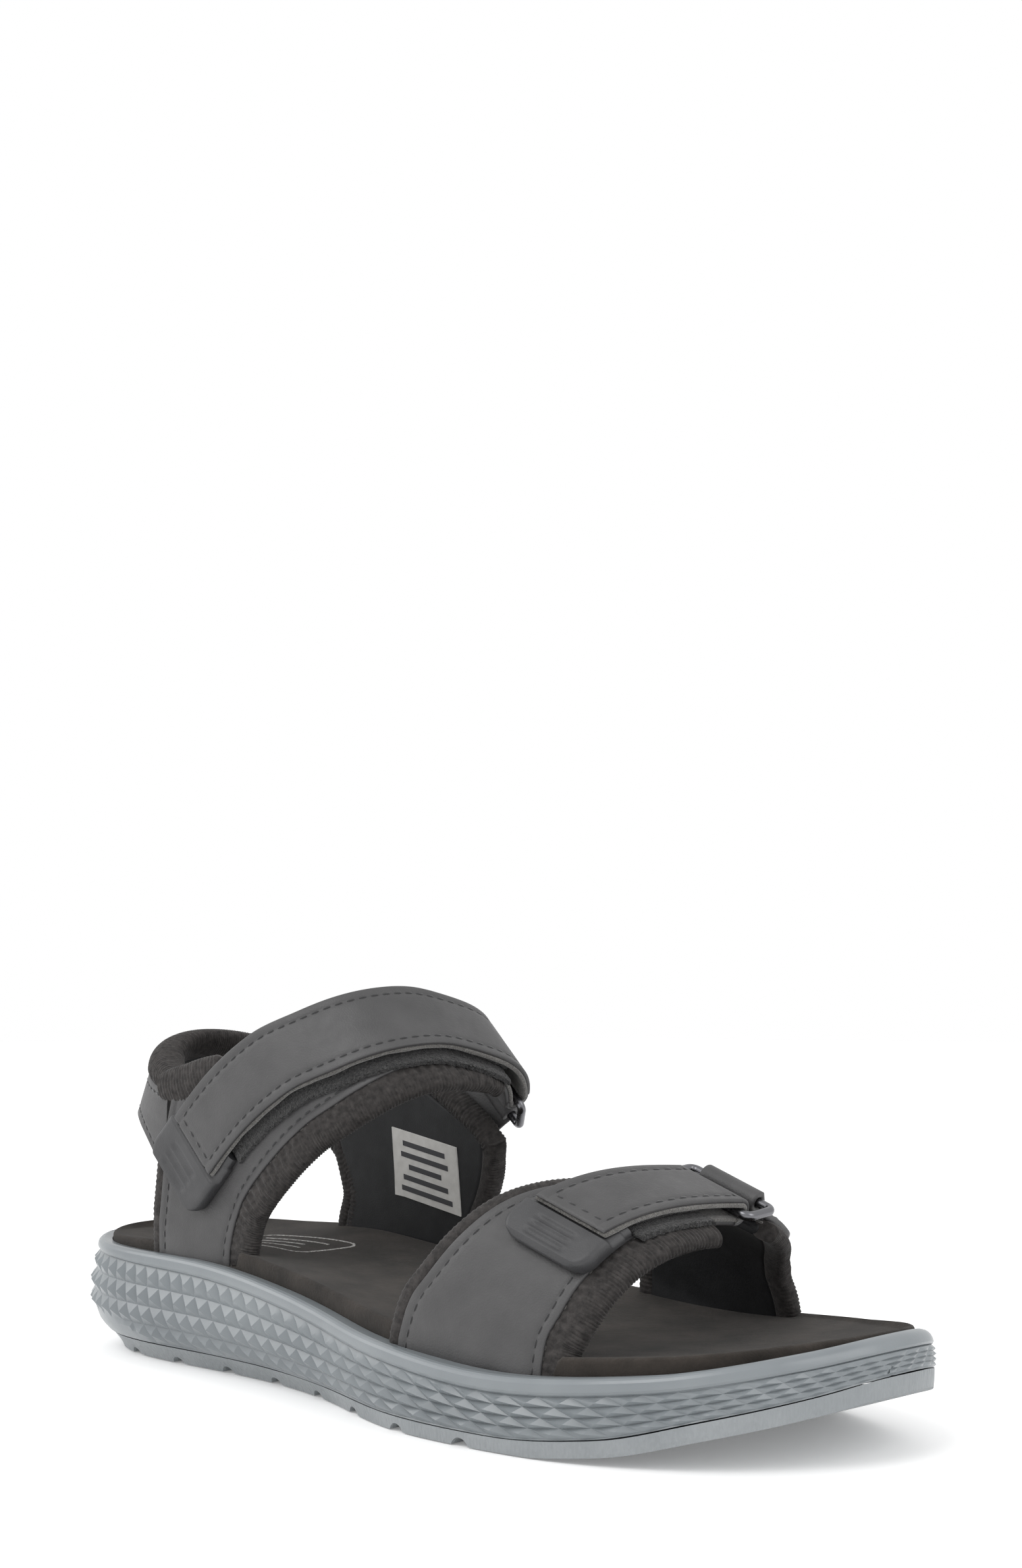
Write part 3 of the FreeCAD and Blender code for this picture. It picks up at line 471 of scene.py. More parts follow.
def make_midsole():
    """The moulded wall, its rim band, lip and seat. Each moulded cell is SUB columns wide."""
    cells = cell_edges()
    columns = np.concatenate([np.linspace(cells[i], cells[i + 1], SUB, endpoint=False)
                              for i in range(len(cells) - 1)])
    count = len(columns)
    xs, ys = plan_at(columns, 0, 0)
    low = wall_low(xs) + 0.02
    high = rim_z(xs)
    band = band_height(xs)
    # rows drift along the sole towards the toe on both sides
    drift = along([-128, -95, -40, 20, 70, 128], [0, 0.1, 0.5, 0.8, 0.8, 0.2], xs)
    slant = drift * np.where(ys < 0, 1.0, -1.0) * FACET_ROWS * (cells[1] - cells[0]) * 1.1
    toe_back = along([95, 112, 128.3], [0, 0.8, 2.0], np.maximum(xs, 95))
    rows = [wall_point(columns, low, -0.45), wall_point(columns, low + 0.2, 0.05)]
    first_facet = len(rows)
    rows += [facet_row(columns, j, slant) for j in range(FACET_ROWS * SUB + 1)]
    for f, proud in BAND:
        rows.append(wall_point(columns, high - band + band * f,
                               proud - toe_back * (0.3 + 0.7 * f)))
    rows.append(wall_point(columns, high + 0.05, -0.5 - toe_back))
    lip = plan_at(columns, RIM_WALL + 0.9, 6.6)
    rows.append(np.stack([lip[0], lip[1], rim_z(lip[0]) - 0.15], axis=-1))
    seat = plan_at(columns, RIM_WALL + 1.15, 6.8)
    rows.append(np.stack([seat[0], seat[1], rim_z(seat[0]) - SEAT_DEPTH], axis=-1))
    grid = np.array(rows)
    verts = [tuple(p) for p in grid.reshape(-1, 3)]
    faces = []
    for r in range(len(rows) - 1):
        j = r - first_facet
        for c in range(count):
            d = (c + 1) % count
            a, b = r * count + c, r * count + d
            above_a, above_b = a + count, b + count
            if not 0 <= j < FACET_ROWS * SUB:
                faces.append((a, b, above_b, above_a))
            elif (c % SUB < SUB / 2) == (j % SUB < SUB / 2):
                faces += [(a, b, above_b), (a, above_b, above_a)]
            else:
                faces += [(a, b, above_a), (b, above_b, above_a)]
    for r in (0, len(rows) - 1):
        middle = grid[r].copy()
        middle[:, 1] = along(BED_X, BED_MIDDLE, np.clip(grid[r][:, 0], -100, 100))
        middle[:, 0] = np.clip(grid[r][:, 0] * 0.97, -100, 100)
        base = len(verts)
        verts.extend(tuple(p) for p in middle)
        for c in range(count):
            d = (c + 1) % count
            faces.append((r * count + c, r * count + d, base + d, base + c))
    obj = new_object("midsole_shell", verts, faces, MAT["polymer"], 18)
    return set_down(obj, BASE, "midsole_polymer", "midsole")


def bed_surface(x, y):
    """Height of the dished footbed."""
    middle = along(BED_X, BED_MIDDLE, x)
    half = along(BED_X, BED_HALF, x)
    u = np.abs(y - middle) / half
    dish = DISH * np.minimum(1.0, half / 26)
    return edge_z(x) - dish * np.maximum(0.0, 1 - u * u) ** 0.8


def tucked_under(x, y, inset):
    """How far the footbed's edge drops where a side panel passes down into the sole."""
    span = np.zeros(np.shape(x))
    for start, end, side in ((-76, -43, -1), (31, 75, -1), (-71, -23, 1), (34, 73, 1)):
        here = np.clip((x - start) / 1.5, 0, 1) * np.clip((end - x) / 1.5, 0, 1)
        span = np.maximum(span, here * (y * side > 0))
    return 4.6 * span * np.clip((7.2 - inset) / 0.9, 0, 1)


def make_footbed():
    """The suede footbed: a rolled edge, then rings that close in on a middle line."""
    count = 620
    u = np.arange(count) / count
    inset = RIM_WALL + 1.2
    rows = []
    for drop, grow in ((SEAT_DEPTH + 0.5, 0.0), (1.6, 0.0), (0.8, -0.05), (0.3, -0.35),
                       (0.06, -0.85)):
        x, y = plan_at(u, inset - grow, SEAT_LEAN)
        z = edge_z(x) - drop - (tucked_under(x, y, inset) if drop < 2 else 0)
        rows.append(np.stack([x, y, np.maximum(z, rim_z(x) - SEAT_DEPTH + 1.5)
                              if drop < 2 else z], axis=-1))
    ex, ey = plan_at(u, inset + 0.9, SEAT_LEAN)
    cx = np.clip(ex, -84, 84)
    cy = along(BED_X, BED_MIDDLE, cx)
    for r in np.linspace(0, 1.012, 46)[1:]:
        x = ex + (cx - ex) * r
        y = ey + (cy - ey) * r
        near = inset + 0.9 + np.hypot(x - ex, y - ey)
        rows.append(np.stack([x, y, bed_surface(x, y) - tucked_under(x, y, near)], axis=-1))
    grid = np.array(rows)
    bottom = grid[0].copy()
    bottom[:, 0] = cx
    bottom[:, 1] = cy
    bottom[:, 2] = rim_z(cx) - SEAT_DEPTH + 1.4
    grid = np.concatenate([bottom[None], grid])
    verts, faces = tube(grid)
    faces = [f for f in faces if len(f) == 4]
    verts = verts[:grid.shape[0] * grid.shape[1]]
    obj = new_object("footbed_top", verts, faces, MAT["suede"], 60)
    bm = bmesh.new()
    bm.from_mesh(obj.data)
    bmesh.ops.remove_doubles(bm, verts=bm.verts, dist=0.00004)
    bm.to_mesh(obj.data)
    bm.free()
    return set_down(obj, BASE, "footbed_suede", "footbed_cover", "footbed_foam")


def make_footbed_mark():
    """A plain rounded frame and bars pressed on the heel of the footbed."""
    def ribbon(points, half):
        p = np.asarray(points, float)
        fine = []
        for i in range(len(p) - 1):
            steps = max(2, int(np.linalg.norm(p[i + 1] - p[i]) / 0.8))
            fine += [p[i] + (p[i + 1] - p[i]) * k / steps for k in range(steps)]
        fine.append(p[-1])
        fine = np.array(fine)
        step = np.gradient(fine, axis=0)
        step /= np.linalg.norm(step, axis=1)[:, None]
        side = np.column_stack([-step[:, 1], step[:, 0]])
        loops = []
        for k in range(len(fine)):
            ring = []
            for s, lift in ((-half, -0.12), (-half * 0.8, 0.09), (half * 0.8, 0.09), (half, -0.12)):
                x, y = fine[k] + side[k] * s
                ring.append((x, y, float(bed_surface(x, y)) + lift))
            loops.append(ring)
        return tube(loops)

    parts = []
    x0, x1, y0, y1 = -84.0, -46.0, -11.0, 11.0
    r = 4.0
    frame_line = []
    for cx, cy, start in ((x1 - r, y1 - r, 0), (x0 + r, y1 - r, 90), (x0 + r, y0 + r, 180),
                          (x1 - r, y0 + r, 270)):
        for k in range(7):
            a = math.radians(start + 15 * k)
            frame_line.append((cx + r * math.cos(a), cy + r * math.sin(a)))
    frame_line.append(frame_line[0])
    parts.append(ribbon(frame_line, 0.45))
    for k, (a, b) in enumerate(((-78, -52), (-74, -56), (-78, -52))):
        y = (k - 1) * 5.0
        parts.append(ribbon([(a, y), (b, y)], 0.5))
    verts, faces = merged(parts)
    obj = new_object("footbed_mark", verts, faces, MAT["mark"], 60)
    return set_down(obj, BASE, "footbed_suede")


# ---------------------------------------------------------------- arches of the upper
class Arch:
    """A surface round the foot: a squared oval in one leaning plane, swept straight across."""

    def __init__(self, lean, base, height, ridge, outer, outer_grow, inner, inner_grow, pivot,
                 outer_power, inner_power, flare_from, flare_over, outer_flare, inner_flare):
        a = math.radians(lean)
        self.up = (math.sin(a), math.cos(a))
        self.across = (math.cos(a), -math.sin(a))
        self.base = base
        self.height = height
        self.ridge = ridge
        self.edge = {-1: (outer, outer_grow), 1: (inner, inner_grow)}
        self.pivot = pivot
        self.flare_from = flare_from
        self.flare_over = flare_over
        self.flare = {-1: outer_flare, 1: inner_flare}
        self.power = {-1: 2 / outer_power, 1: 2 / inner_power}
        self.tables = {}
        for side in (-1, 1):
            angle = np.linspace(0, math.pi / 2, 1201)
            reach = abs(self.edge[side][0] - ridge)
            y = reach * np.sin(angle) ** self.power[side]
            z = height * np.maximum(0, np.cos(angle)) ** self.power[side]
            run = np.concatenate([[0], np.cumsum(np.hypot(np.diff(y), np.diff(z)))])
            self.tables[side] = (run, angle)

    def side_point(self, s, w, depth, side):
        """Rise up the leaning plane and y, at a run of s down one side."""
        run, angles = self.tables[side]
        first, grow = self.edge[side]
        reach = np.abs(first + grow * (w - self.pivot) - self.ridge) - depth
        angle = np.interp(s, run, angles)
        over = np.maximum(0.0, s - run[-1])
        power = self.power[side]
        rise = self.base + (self.height - depth) * np.maximum(0, np.cos(angle)) ** power - over
        y = self.ridge + side * reach * np.sin(angle) ** power
        below = np.clip((self.flare_from - rise) / self.flare_over, 0, 1.1)
        return rise, y + side * self.flare[side] * below ** 1.5

    def point(self, s, w, depth):
        """The point at run s (below 0 on the outer side), w across the plane, and a depth."""
        s, w, depth = np.broadcast_arrays(np.asarray(s, float), np.asarray(w, float),
                                          np.asarray(depth, float))
        ra, ya = self.side_point(np.abs(s), w, depth, -1)
        rb, yb = self.side_point(np.abs(s), w, depth, 1)
        rise = np.where(s < 0, ra, rb)
        y = np.where(s < 0, ya, yb)
        return np.stack([self.up[0] * rise + self.across[0] * w, y,
                         self.up[1] * rise + self.across[1] * w], axis=-1)

    def place(self, x, z, side):
        """(s, w) of the surface at a given x and z."""
        rise = self.up[0] * x + self.up[1] * z
        w = self.across[0] * x + self.across[1] * z
        run, angles = self.tables[side]
        share = (rise - self.base) / self.height
        if share <= 0:
            return side * (run[-1] - share * self.height), w
        angle = math.acos(min(1.0, share ** (1 / self.power[side])))
        return side * float(np.interp(angle, angles, run)), w

    def at(self, degrees, w):
        """(s, w) at an angle from the ridge."""
        side = -1 if degrees < 0 else 1
        run, angles = self.tables[side]
        return side * float(np.interp(math.radians(abs(degrees)), angles, run)), w


INSTEP = Arch(45, -3.0, 61.0, 7.0, -34.5, 0.0, 36.5, 0.0, -71.0, 2.3, 3.6,
              -2.0, 22.0, 2.3, 0.0)
VAMP = Arch(20, 34.0, 43.5, 4.0, -47.8, 0.06, 47.2, 0.16, 50.0, 2.7, 2.1,
            50.0, 12.0, 1.2, 1.5)


def stations(arch, side, low_pairs, high_pairs):
    """Rear and front edge places, low ones as (x, z) and high ones as (degrees, w)."""
    found = []
    for rear, front in low_pairs:
        found.append((arch.place(rear[0], rear[1], side), arch.place(front[0], front[1], side)))
    for rear, front in high_pairs:
        found.append((arch.at(*rear), arch.at(*front)))
    return np.array(found)


class Panel:
    """A leather side panel between its rear and front edges, from inside the rim upwards."""

    def __init__(self, name, arch, pairs):
        self.name = name
        self.arch = arch
        mid = arch.point(pairs[:, :, 0], pairs[:, :, 1], BASE_OUT).mean(axis=1)
        self.run = running(mid)
        self.pairs = pairs
        self.length = self.run[-1]

    def edge(self, which, t):
        """(s, w) of the rear (0) or front (1) edge at running length t."""
        return np.stack([along(self.run, self.pairs[:, which, i], t) for i in (0, 1)], axis=-1)

    def beside(self, which, t, distance):
        """(s, w) at a distance outside the edge, square to it (negative is inside)."""
        t = np.asarray(t, float)
        here = self.edge(which, t)
        step = self.edge(which, t + 0.6) - self.edge(which, t - 0.6)
        step /= np.maximum(1e-9, np.linalg.norm(step, axis=-1))[..., None]
        normal = np.stack([-step[..., 1], step[..., 0]], axis=-1)
        other = self.edge(1 - which, t) - here
        flip = np.sign(-(normal * other).sum(axis=-1))[..., None]
        flip = np.where(flip == 0, 1.0, flip)
        return here + normal * flip * distance

    def ring(self, which, t, across, depth):
        """Points at distances outside the edge at t, each at its own depth."""
        base = self.beside(which, t, 0.0)
        far = self.beside(which, t, 1.0)
        sw = base[None] + (far - base)[None] * np.array(across)[:, None]
        return self.arch.point(sw[:, 0], sw[:, 1], np.array(depth))


OUTER_QUARTER = Panel("outer_quarter", INSTEP, stations(INSTEP, -1, [
    ((-75.5, 27.0), (-48.5, 27.0)), ((-75.5, 34), (-48.3, 33.5)), ((-75.3, 43), (-46.5, 40)),
    ((-75, 53), (-43, 46)), ((-74.6, 63), (-38, 51.5)), ((-70, 74), (-31, 58.5)),
    ((-56, 79), (-23, 66))], [
    ((-60, -87), (-49, -61.8)), ((-43, -86), (-37, -61.2)),
    ((-24, -83.5), (-22, -60.8)), ((-1, -80.5), (-1, -59.6)), ((10, -78), (10, -58.6)),
    ((18, -76), (18, -58))]))
INNER_QUARTER = Panel("inner_quarter", INSTEP, stations(INSTEP, 1, [
    ((-72, 27.0), (-26.5, 27.0)), ((-71, 34), (-23.5, 34)), ((-69, 41), (-19.5, 41)),
    ((-71, 49), (-16, 47)), ((-73.8, 57), (-13.8, 52)), ((-73.5, 65), (-12.6, 56)),
    ((-68, 72.5), (-12, 59)), ((-58, 76.8), (-11.7, 61)), ((-44, 78), (-11.5, 62.5))], []))
OUTER_VAMP = Panel("outer_vamp", VAMP, stations(VAMP, -1, [
    ((30, 14.5), (71, 13)), ((31, 22), (71, 21)), ((34, 30), (71.8, 27)),
    ((38.5, 37), (74, 32))], [
    ((-60, 26.5), (-56, 58.5)), ((-43, 29), (-43, 58.5)), ((-27, 33), (-27, 58.8)),
    ((-14, 38), (-14, 59.5)), ((-6, 41), (-6, 60.5))]))
INNER_VAMP = Panel("inner_vamp", VAMP, stations(VAMP, 1, [
    ((33, 14.5), (68.5, 13)), ((33, 23), (70, 21)), ((34.5, 31), (71, 28.5)),
    ((38, 38), (71.5, 35))], [
    ((54, 28), (51, 55.5)), ((41, 33), (40, 57.5)), ((29, 38), (29, 59.5)),
    ((18, 43), (18, 61))]))


def sheet_profile(width, out, inn, radius, stitch, spread, columns):
    """A closed cross-section as (distance across, depth), with more points at its seams."""
    r = min(radius, (inn - out) / 2)
    arc = np.radians([0, 30, 60, 90])
    inside = [r] + [stitch + spread * k for k in (-2, -1, 0, 1, 2)]
    middle = np.linspace(stitch + 2 * spread, width - stitch - 2 * spread, columns)[1:-1]
    top = inside + list(middle) + [width - d for d in reversed(inside)]
    points = [(d, out) for d in top]
    points += [(width - r + r * math.sin(q), out + r - r * math.cos(q)) for q in arc[1:]]
    points += [(width - r + r * math.cos(q), inn - r + r * math.sin(q)) for q in arc]
    points += [(d, inn) for d in reversed(top[1:-1])]
    points += [(r - r * math.sin(q), inn - r + r * math.cos(q)) for q in arc]
    points += [(r - r * math.cos(q), out + r - r * math.sin(q)) for q in arc[:-1]]
    return np.array(points)


def from_edge(profile, width):
    return np.minimum(profile[:, 0], width - profile[:, 0])


def seam_dimple(profile, width, out, stitch, deep, wide):
    """How far the outside of a sheet is pulled in along its stitch lines."""
    near = from_edge(profile, width)
    return deep * np.exp(-((near - stitch) / wide) ** 2) * (profile[:, 1] < out + 0.01)


def end_taper(t, length, radius):
    """How full a slab is near its two ends."""
    d = np.minimum(t, length - t)
    return np.sqrt(np.clip(1 - (1 - np.clip(d / radius, 0, 1)) ** 2, 0.04, 1))


def spaced(length, step, radius):
    """Running positions with extra rows at both ends."""
    ends = [0, radius * 0.15, radius * 0.4, radius * 0.7]
    inner = np.linspace(radius, length - radius, max(3, int((length - 2 * radius) / step)))
    return np.array(ends + list(inner) + [length - e for e in reversed(ends)])


STITCH_RADIUS = 0.3
STITCH_LENGTH = 2.1
STITCH_PITCH = 3.0


def stitches(rows_of_points):
    """Short thread stitches along lines given as (points, outward directions)."""
    parts = []
    for points, outward in rows_of_points:
        points = np.asarray(points, float)
        outward = np.asarray(outward, float)
        run = running(points)
        n = int(run[-1] / STITCH_PITCH)
        for k in range(n):
            at = (k + 0.5) * run[-1] / n
            ends = [np.array([np.interp(at + d, run, points[:, i]) for i in range(3)])
                    for d in (-STITCH_LENGTH / 2, STITCH_LENGTH / 2)]
            up = np.array([np.interp(at, run, outward[:, i]) for i in range(3)])
            up /= np.linalg.norm(up)
            forward = ends[1] - ends[0]
            size = np.linalg.norm(forward)
            if size < 0.4:
                continue
            forward /= size
            side = np.cross(up, forward)
            middle = (ends[0] + ends[1]) / 2
            loops = []
            for f, scale, sink in ((-1, 0.25, 0.22), (-0.8, 0.75, 0.06), (-0.35, 1, 0),
                                   (0.35, 1, 0), (0.8, 0.75, 0.06), (1, 0.25, 0.22)):
                ring = []
                for a in range(6):
                    angle = math.pi / 3 * a
                    round_it = side * math.cos(angle) + up * math.sin(angle) * 0.8
                    offset = round_it * STITCH_RADIUS * scale
                    ring.append(middle + forward * f * size / 2 + offset - up * sink)
                loops.append(ring)
            parts.append(tube(loops))
    return merged(parts)


def arch_line(arch, sw, depth):
    """Points and outward directions on an arch along a list of (s, w)."""
    sw = np.asarray(sw, float)
    here = arch.point(sw[:, 0], sw[:, 1], depth)
    out = arch.point(sw[:, 0], sw[:, 1], depth - 1.0) - here
    return here, out


SEAM_IN = 2.4
SHEET_END = 0.8
ROLL_DEPTH = 6.95
ROLL_RISE = 2.25
ROLL_IN = 1.4


def panel_sheet(panel, out, inn, radius, grow):
    """One layer of a side panel, pulled in along the stitch lines near both edges."""
    loops = []
    for t in spaced(panel.length, 1.0, SHEET_END):
        rear = panel.beside(0, t, grow)
        front = panel.beside(1, t, grow)
        a = panel.arch.point(rear[0], rear[1], BASE_OUT)
        b = panel.arch.point(front[0], front[1], BASE_OUT)
        width = float(np.linalg.norm(b - a))
        profile = sheet_profile(width, out, inn, radius, SEAM_IN, 0.4, 26)
        full = float(end_taper(t, panel.length, SHEET_END))
        middle = (out + inn) / 2
        depth = middle + (profile[:, 1] - middle) * full
        depth = depth + seam_dimple(profile, width, out, SEAM_IN, 0.3, 0.5)
        share = profile[:, 0] / width
        s = rear[0] + (front[0] - rear[0]) * share
        w = rear[1] + (front[1] - rear[1]) * share
        loops.append(panel.arch.point(s, w, depth))
    return tube(loops)


def roll_rows(panel, span, step, radius):
    ts = spaced(span[1] - span[0] + 3.0, step, radius) + span[0] - 1.5
    return np.clip(ts, 0, panel.length)


def front_roll(panel, span, phase):
    """A gathered, ribbed fabric roll round the front edge."""
    wide = BINDING_WIDTH if panel.pairs[0][0][0] < 0 else INNER_BINDING_WIDTH
    half = (wide + ROLL_IN) / 2
    loops = []
    for t in roll_rows(panel, span, 0.33, 0.6):
        gather = 0.5 + 0.5 * math.sin(2 * math.pi * t / 2.9 + phase[0] + 0.7 * math.sin(t / 7.0))
        rib = math.sin(2 * math.pi * t / 1.05 + phase[1] + 0.9 * math.sin(t / 3.1))
        wave = math.sin(2 * math.pi * t / 13.0 + phase[2])
        distances = []
        depth = []
        for q in turns(26):
            c = math.cos(q)
            si = math.sin(q)
            across = half - ROLL_IN + half * squared(c, 0.8)
            near = math.exp(-((across - 1.6) / 1.5) ** 2)
            outer = max(0.0, min(1.0, (across - 2.6) / 1.6))
            swell = 0.17 * rib * outer - 0.6 * near * gather + 0.10 * wave
            size = 1 + (swell / ROLL_RISE if si > 0 else 0.10 * rib * outer)
            distances.append(across + 0.14 * rib * outer * max(0.0, c))
            depth.append(ROLL_DEPTH - ROLL_RISE * squared(si, 0.75) * size)
        loops.append(panel.ring(1, t, distances, depth))
    return tube(loops)


def rear_roll(panel, span, phase):
    """A narrow ribbed roll round the rear edge."""
    half = (REAR_BINDING + 1.0) / 2
    loops = []
    for t in roll_rows(panel, span, 0.3, 0.5):
        rib = 0.45 * math.sin(2 * math.pi * t / 1.15 + phase + 0.6 * math.sin(t / 3.7))
        distances = []
        depth = []
        for q in turns(20):
            distances.append(half - 1.0 + (half + 0.12 * rib) * squared(math.cos(q), 0.8))
            depth.append(7.0 - (2.2 + 0.22 * rib) * squared(math.sin(q), 0.75))
        loops.append(panel.ring(0, t, distances, depth))
    return tube(loops)


def build_panel(panel, front_span, rear_span):
    """Leather, backing, lining, both bindings and stitching of one side panel."""
    name = panel.name
    skin = new_object(name + "_skin", *panel_sheet(panel, BASE_OUT, BASE_OUT + 0.9, 0.4, -0.1),
                      MAT["leather"], 60)
    set_down(skin, BASE, "upper_leather", name + "_overlay")
    back = new_object(name + "_backing",
                      *panel_sheet(panel, BASE_OUT + 0.75, BASE_IN, 0.3, 0.22), MAT["felt"], 60)
    set_down(back, BASE, "upper_leather")
    lining = new_object(name + "_inner_face",
                        *panel_sheet(panel, LINING_OUT, LINING_IN, 1.2, 0.0), MAT["lining"], 60)
    set_down(lining, BASE, "smooth_lining", name + "_lining")

    lines = []
    for which, span in ((1, front_span), (0, rear_span)):
        ts = np.linspace(span[0], span[1], 240)
        lines.append(arch_line(panel.arch, panel.beside(which, ts, -SEAM_IN), BASE_OUT + 0.2))
    thread = new_object(name + "_stitches", *stitches(lines), MAT["thread"], 60)
    set_down(thread, BASE, "upper_leather")

    phase = RNG.uniform(0, 6.28, 4)
    obj = new_object(name + "_front_roll", *front_roll(panel, front_span, phase),
                     MAT["binding"], 70)
    set_down(obj, BASE, "binding_cloth", name + "_front_binding")
    obj = new_object(name + "_rear_roll", *rear_roll(panel, rear_span, phase[3]),
                     MAT["binding"], 70)
    set_down(obj, BASE, "binding_cloth", name + "_rear_binding")


def soft_roll(name, arch, path, halves, thick):
    """A padded, ribbed roll along points given as (x, z, side), on an arch."""
    sw = np.array([arch.place(x, z, side) for x, z, side in path])
    run = np.concatenate([[0], np.cumsum(np.hypot(np.diff(sw[:, 0]), np.diff(sw[:, 1])))])

    def middle(t):
        return np.array([along(run, sw[:, 0], t), along(run, sw[:, 1], t)])

    phase = RNG.uniform(0, 6.28, 3)
    loops = []
    for t in spaced(run[-1], 0.35, 0.6):
        go = unit(middle(min(t + 0.2, run[-1])) - middle(max(t - 0.2, 0)))
        side = np.array([-go[1], go[0]])
        half = float(along(run, halves, t))
        full = float(end_taper(t, run[-1], 2.2))
        rib = math.sin(2 * math.pi * t / 1.2 + phase[0] + 0.7 * math.sin(t / 3))
        pucker = 0.5 + 0.5 * math.sin(2 * math.pi * t / 3.3 + phase[1])
        places = []
        depth = []
        for q in turns(26):
            c = squared(math.cos(q), 0.85)
            near = math.exp(-((abs(c) - 0.5) / 0.2) ** 2)
            swell = 0.12 * rib - 0.3 * near * pucker
            places.append(middle(t) + side * c * (half + 0.1 * rib) * full)
            depth.append(6.9 - squared(math.sin(q), 0.8) * (thick + swell) * full)
        places = np.array(places)
        loops.append(arch.point(places[:, 0], places[:, 1], np.array(depth)))
    obj = new_object(name, *tube(loops), MAT["binding"], 70)
    set_down(obj, BASE, "binding_cloth")


# ---------------------------------------------------------------- heel strap
HEEL_CENTRE = -72.0
HEEL_END = 86.0
HEEL_OUTER = 34.5
HEEL_INNER = 36.5
HEEL_NARROWER = 4.5
LOW_BACK = 46.0
HIGH_BACK = 31.0
BACK_FROM = 62.0
BACK_OVER = 25.0
HEEL_SEAM_IN = 2.0
COLLAR_REACH = 3.9
COLLAR_DEPTH = 7.7


def heel_point(angle, z, depth):
    """A point of the heel strap; angles run from the outer end, through the back, to the inner."""
    share = (z - BACK_FROM) / BACK_OVER
    a = np.radians(angle)
    back = LOW_BACK - (LOW_BACK - HIGH_BACK) * share - depth
    side = np.where(angle < 0, HEEL_OUTER, HEEL_INNER)
    side = side - HEEL_NARROWER * np.maximum(0.0, share) * np.cos(a) - depth
    return np.stack([HEEL_CENTRE - back * np.cos(a), side * np.sin(a),
                     np.broadcast_to(z, np.shape(a)) + 0.0], axis=-1)


def heel_low(angle):
    u = abs(angle) / HEEL_END
    return 65.5 - (17.5 if angle < 0 else 9.0) * u ** 5


def heel_high(angle):
    u = abs(angle) / HEEL_END
    return 87.0 - 10.5 * u ** 2


def heel_seam(angle):
    u = abs(angle) / HEEL_END
    return 80.0 - 9.0 * u ** 1.5


def heel_layer(low, high, out, inn):
    """One layer of the heel strap between two height functions."""
    loops = []
    for angle in np.linspace(-HEEL_END, HEEL_END, 150):
        width = high(angle) - low(angle)
        profile = sheet_profile(width, out, inn, 0.5, HEEL_SEAM_IN, 0.3, 12)
        depth = profile[:, 1] + seam_dimple(profile, width, out, HEEL_SEAM_IN, 0.3, 0.45)
        loops.append(heel_point(np.full(len(profile), angle), low(angle) + profile[:, 0], depth))
    return tube(loops)


def heel_collar():
    """The padded roll over the top of the heel, ribbed, with puckers along its seam."""
    phase = RNG.uniform(0, 6.28, 3)
    loops = []
    for angle in np.linspace(-HEEL_END, HEEL_END, 420):
        run = math.radians(angle) * 40
        low = heel_seam(angle) - 1.0
        half = (heel_high(angle) - low) / 2
        rib = math.sin(2 * math.pi * run / 1.3 + phase[0] + 0.8 * math.sin(run / 3))
        pucker = 0.5 + 0.5 * math.sin(2 * math.pi * run / 3.4 + phase[1] + math.sin(run / 9))
        heights = []
        depths = []
        for q in turns(34):
            c = math.cos(q)
            si = math.sin(q)
            z = low + half + half * squared(si, 0.85)
            near = math.exp(-((z - low - 2.2) / 1.3) ** 2) * max(0.0, c)
            reach = COLLAR_REACH * squared(c, 0.8) * (1 + 0.035 * rib) - 0.6 * near * pucker
            heights.append(z + 0.10 * rib * max(0.0, si))
            depths.append(COLLAR_DEPTH - reach - 1.2 * min(0.0, c))
        loops.append(heel_point(np.full(len(heights), angle), np.array(heights),
                                np.array(depths)))
    return tube(loops)


def make_heel():
    skin = new_object("heel_strap_skin", *heel_layer(heel_low, heel_seam, BASE_OUT, 5.5),
                      MAT["leather"], 60)
    set_down(skin, BASE, "upper_leather", "heel_strap")
    back = new_object("heel_strap_backing",
                      *heel_layer(lambda a: heel_low(a) - 0.25, lambda a: heel_seam(a) + 0.2,
                                  5.35, BASE_IN), MAT["felt"], 60)
    set_down(back, BASE, "upper_leather")
    inner = new_object("heel_inner_face",
                       *heel_layer(lambda a: heel_low(a) + 0.2, heel_seam, LINING_OUT,
                                   LINING_IN + 1.5), MAT["lining"], 60)
    set_down(inner, BASE, "smooth_lining", "heel_lining")
    collar = new_object("heel_collar_roll", *heel_collar(), MAT["binding"], 70)
    set_down(collar, BASE, "binding_cloth", "heel_collar")
    lines = []
    for edge in (lambda a: heel_low(a) + HEEL_SEAM_IN, lambda a: heel_seam(a) - HEEL_SEAM_IN):
        angles = np.linspace(-HEEL_END + 2, HEEL_END - 2, 300)
        zs = np.array([edge(a) for a in angles])
        here = heel_point(angles, zs, BASE_OUT + 0.15)
        out = heel_point(angles, zs, BASE_OUT - 0.85) - here
        lines.append((here, out))
    thread = new_object("heel_strap_stitches", *stitches(lines), MAT["thread"], 60)
    set_down(thread, BASE, "upper_leather")


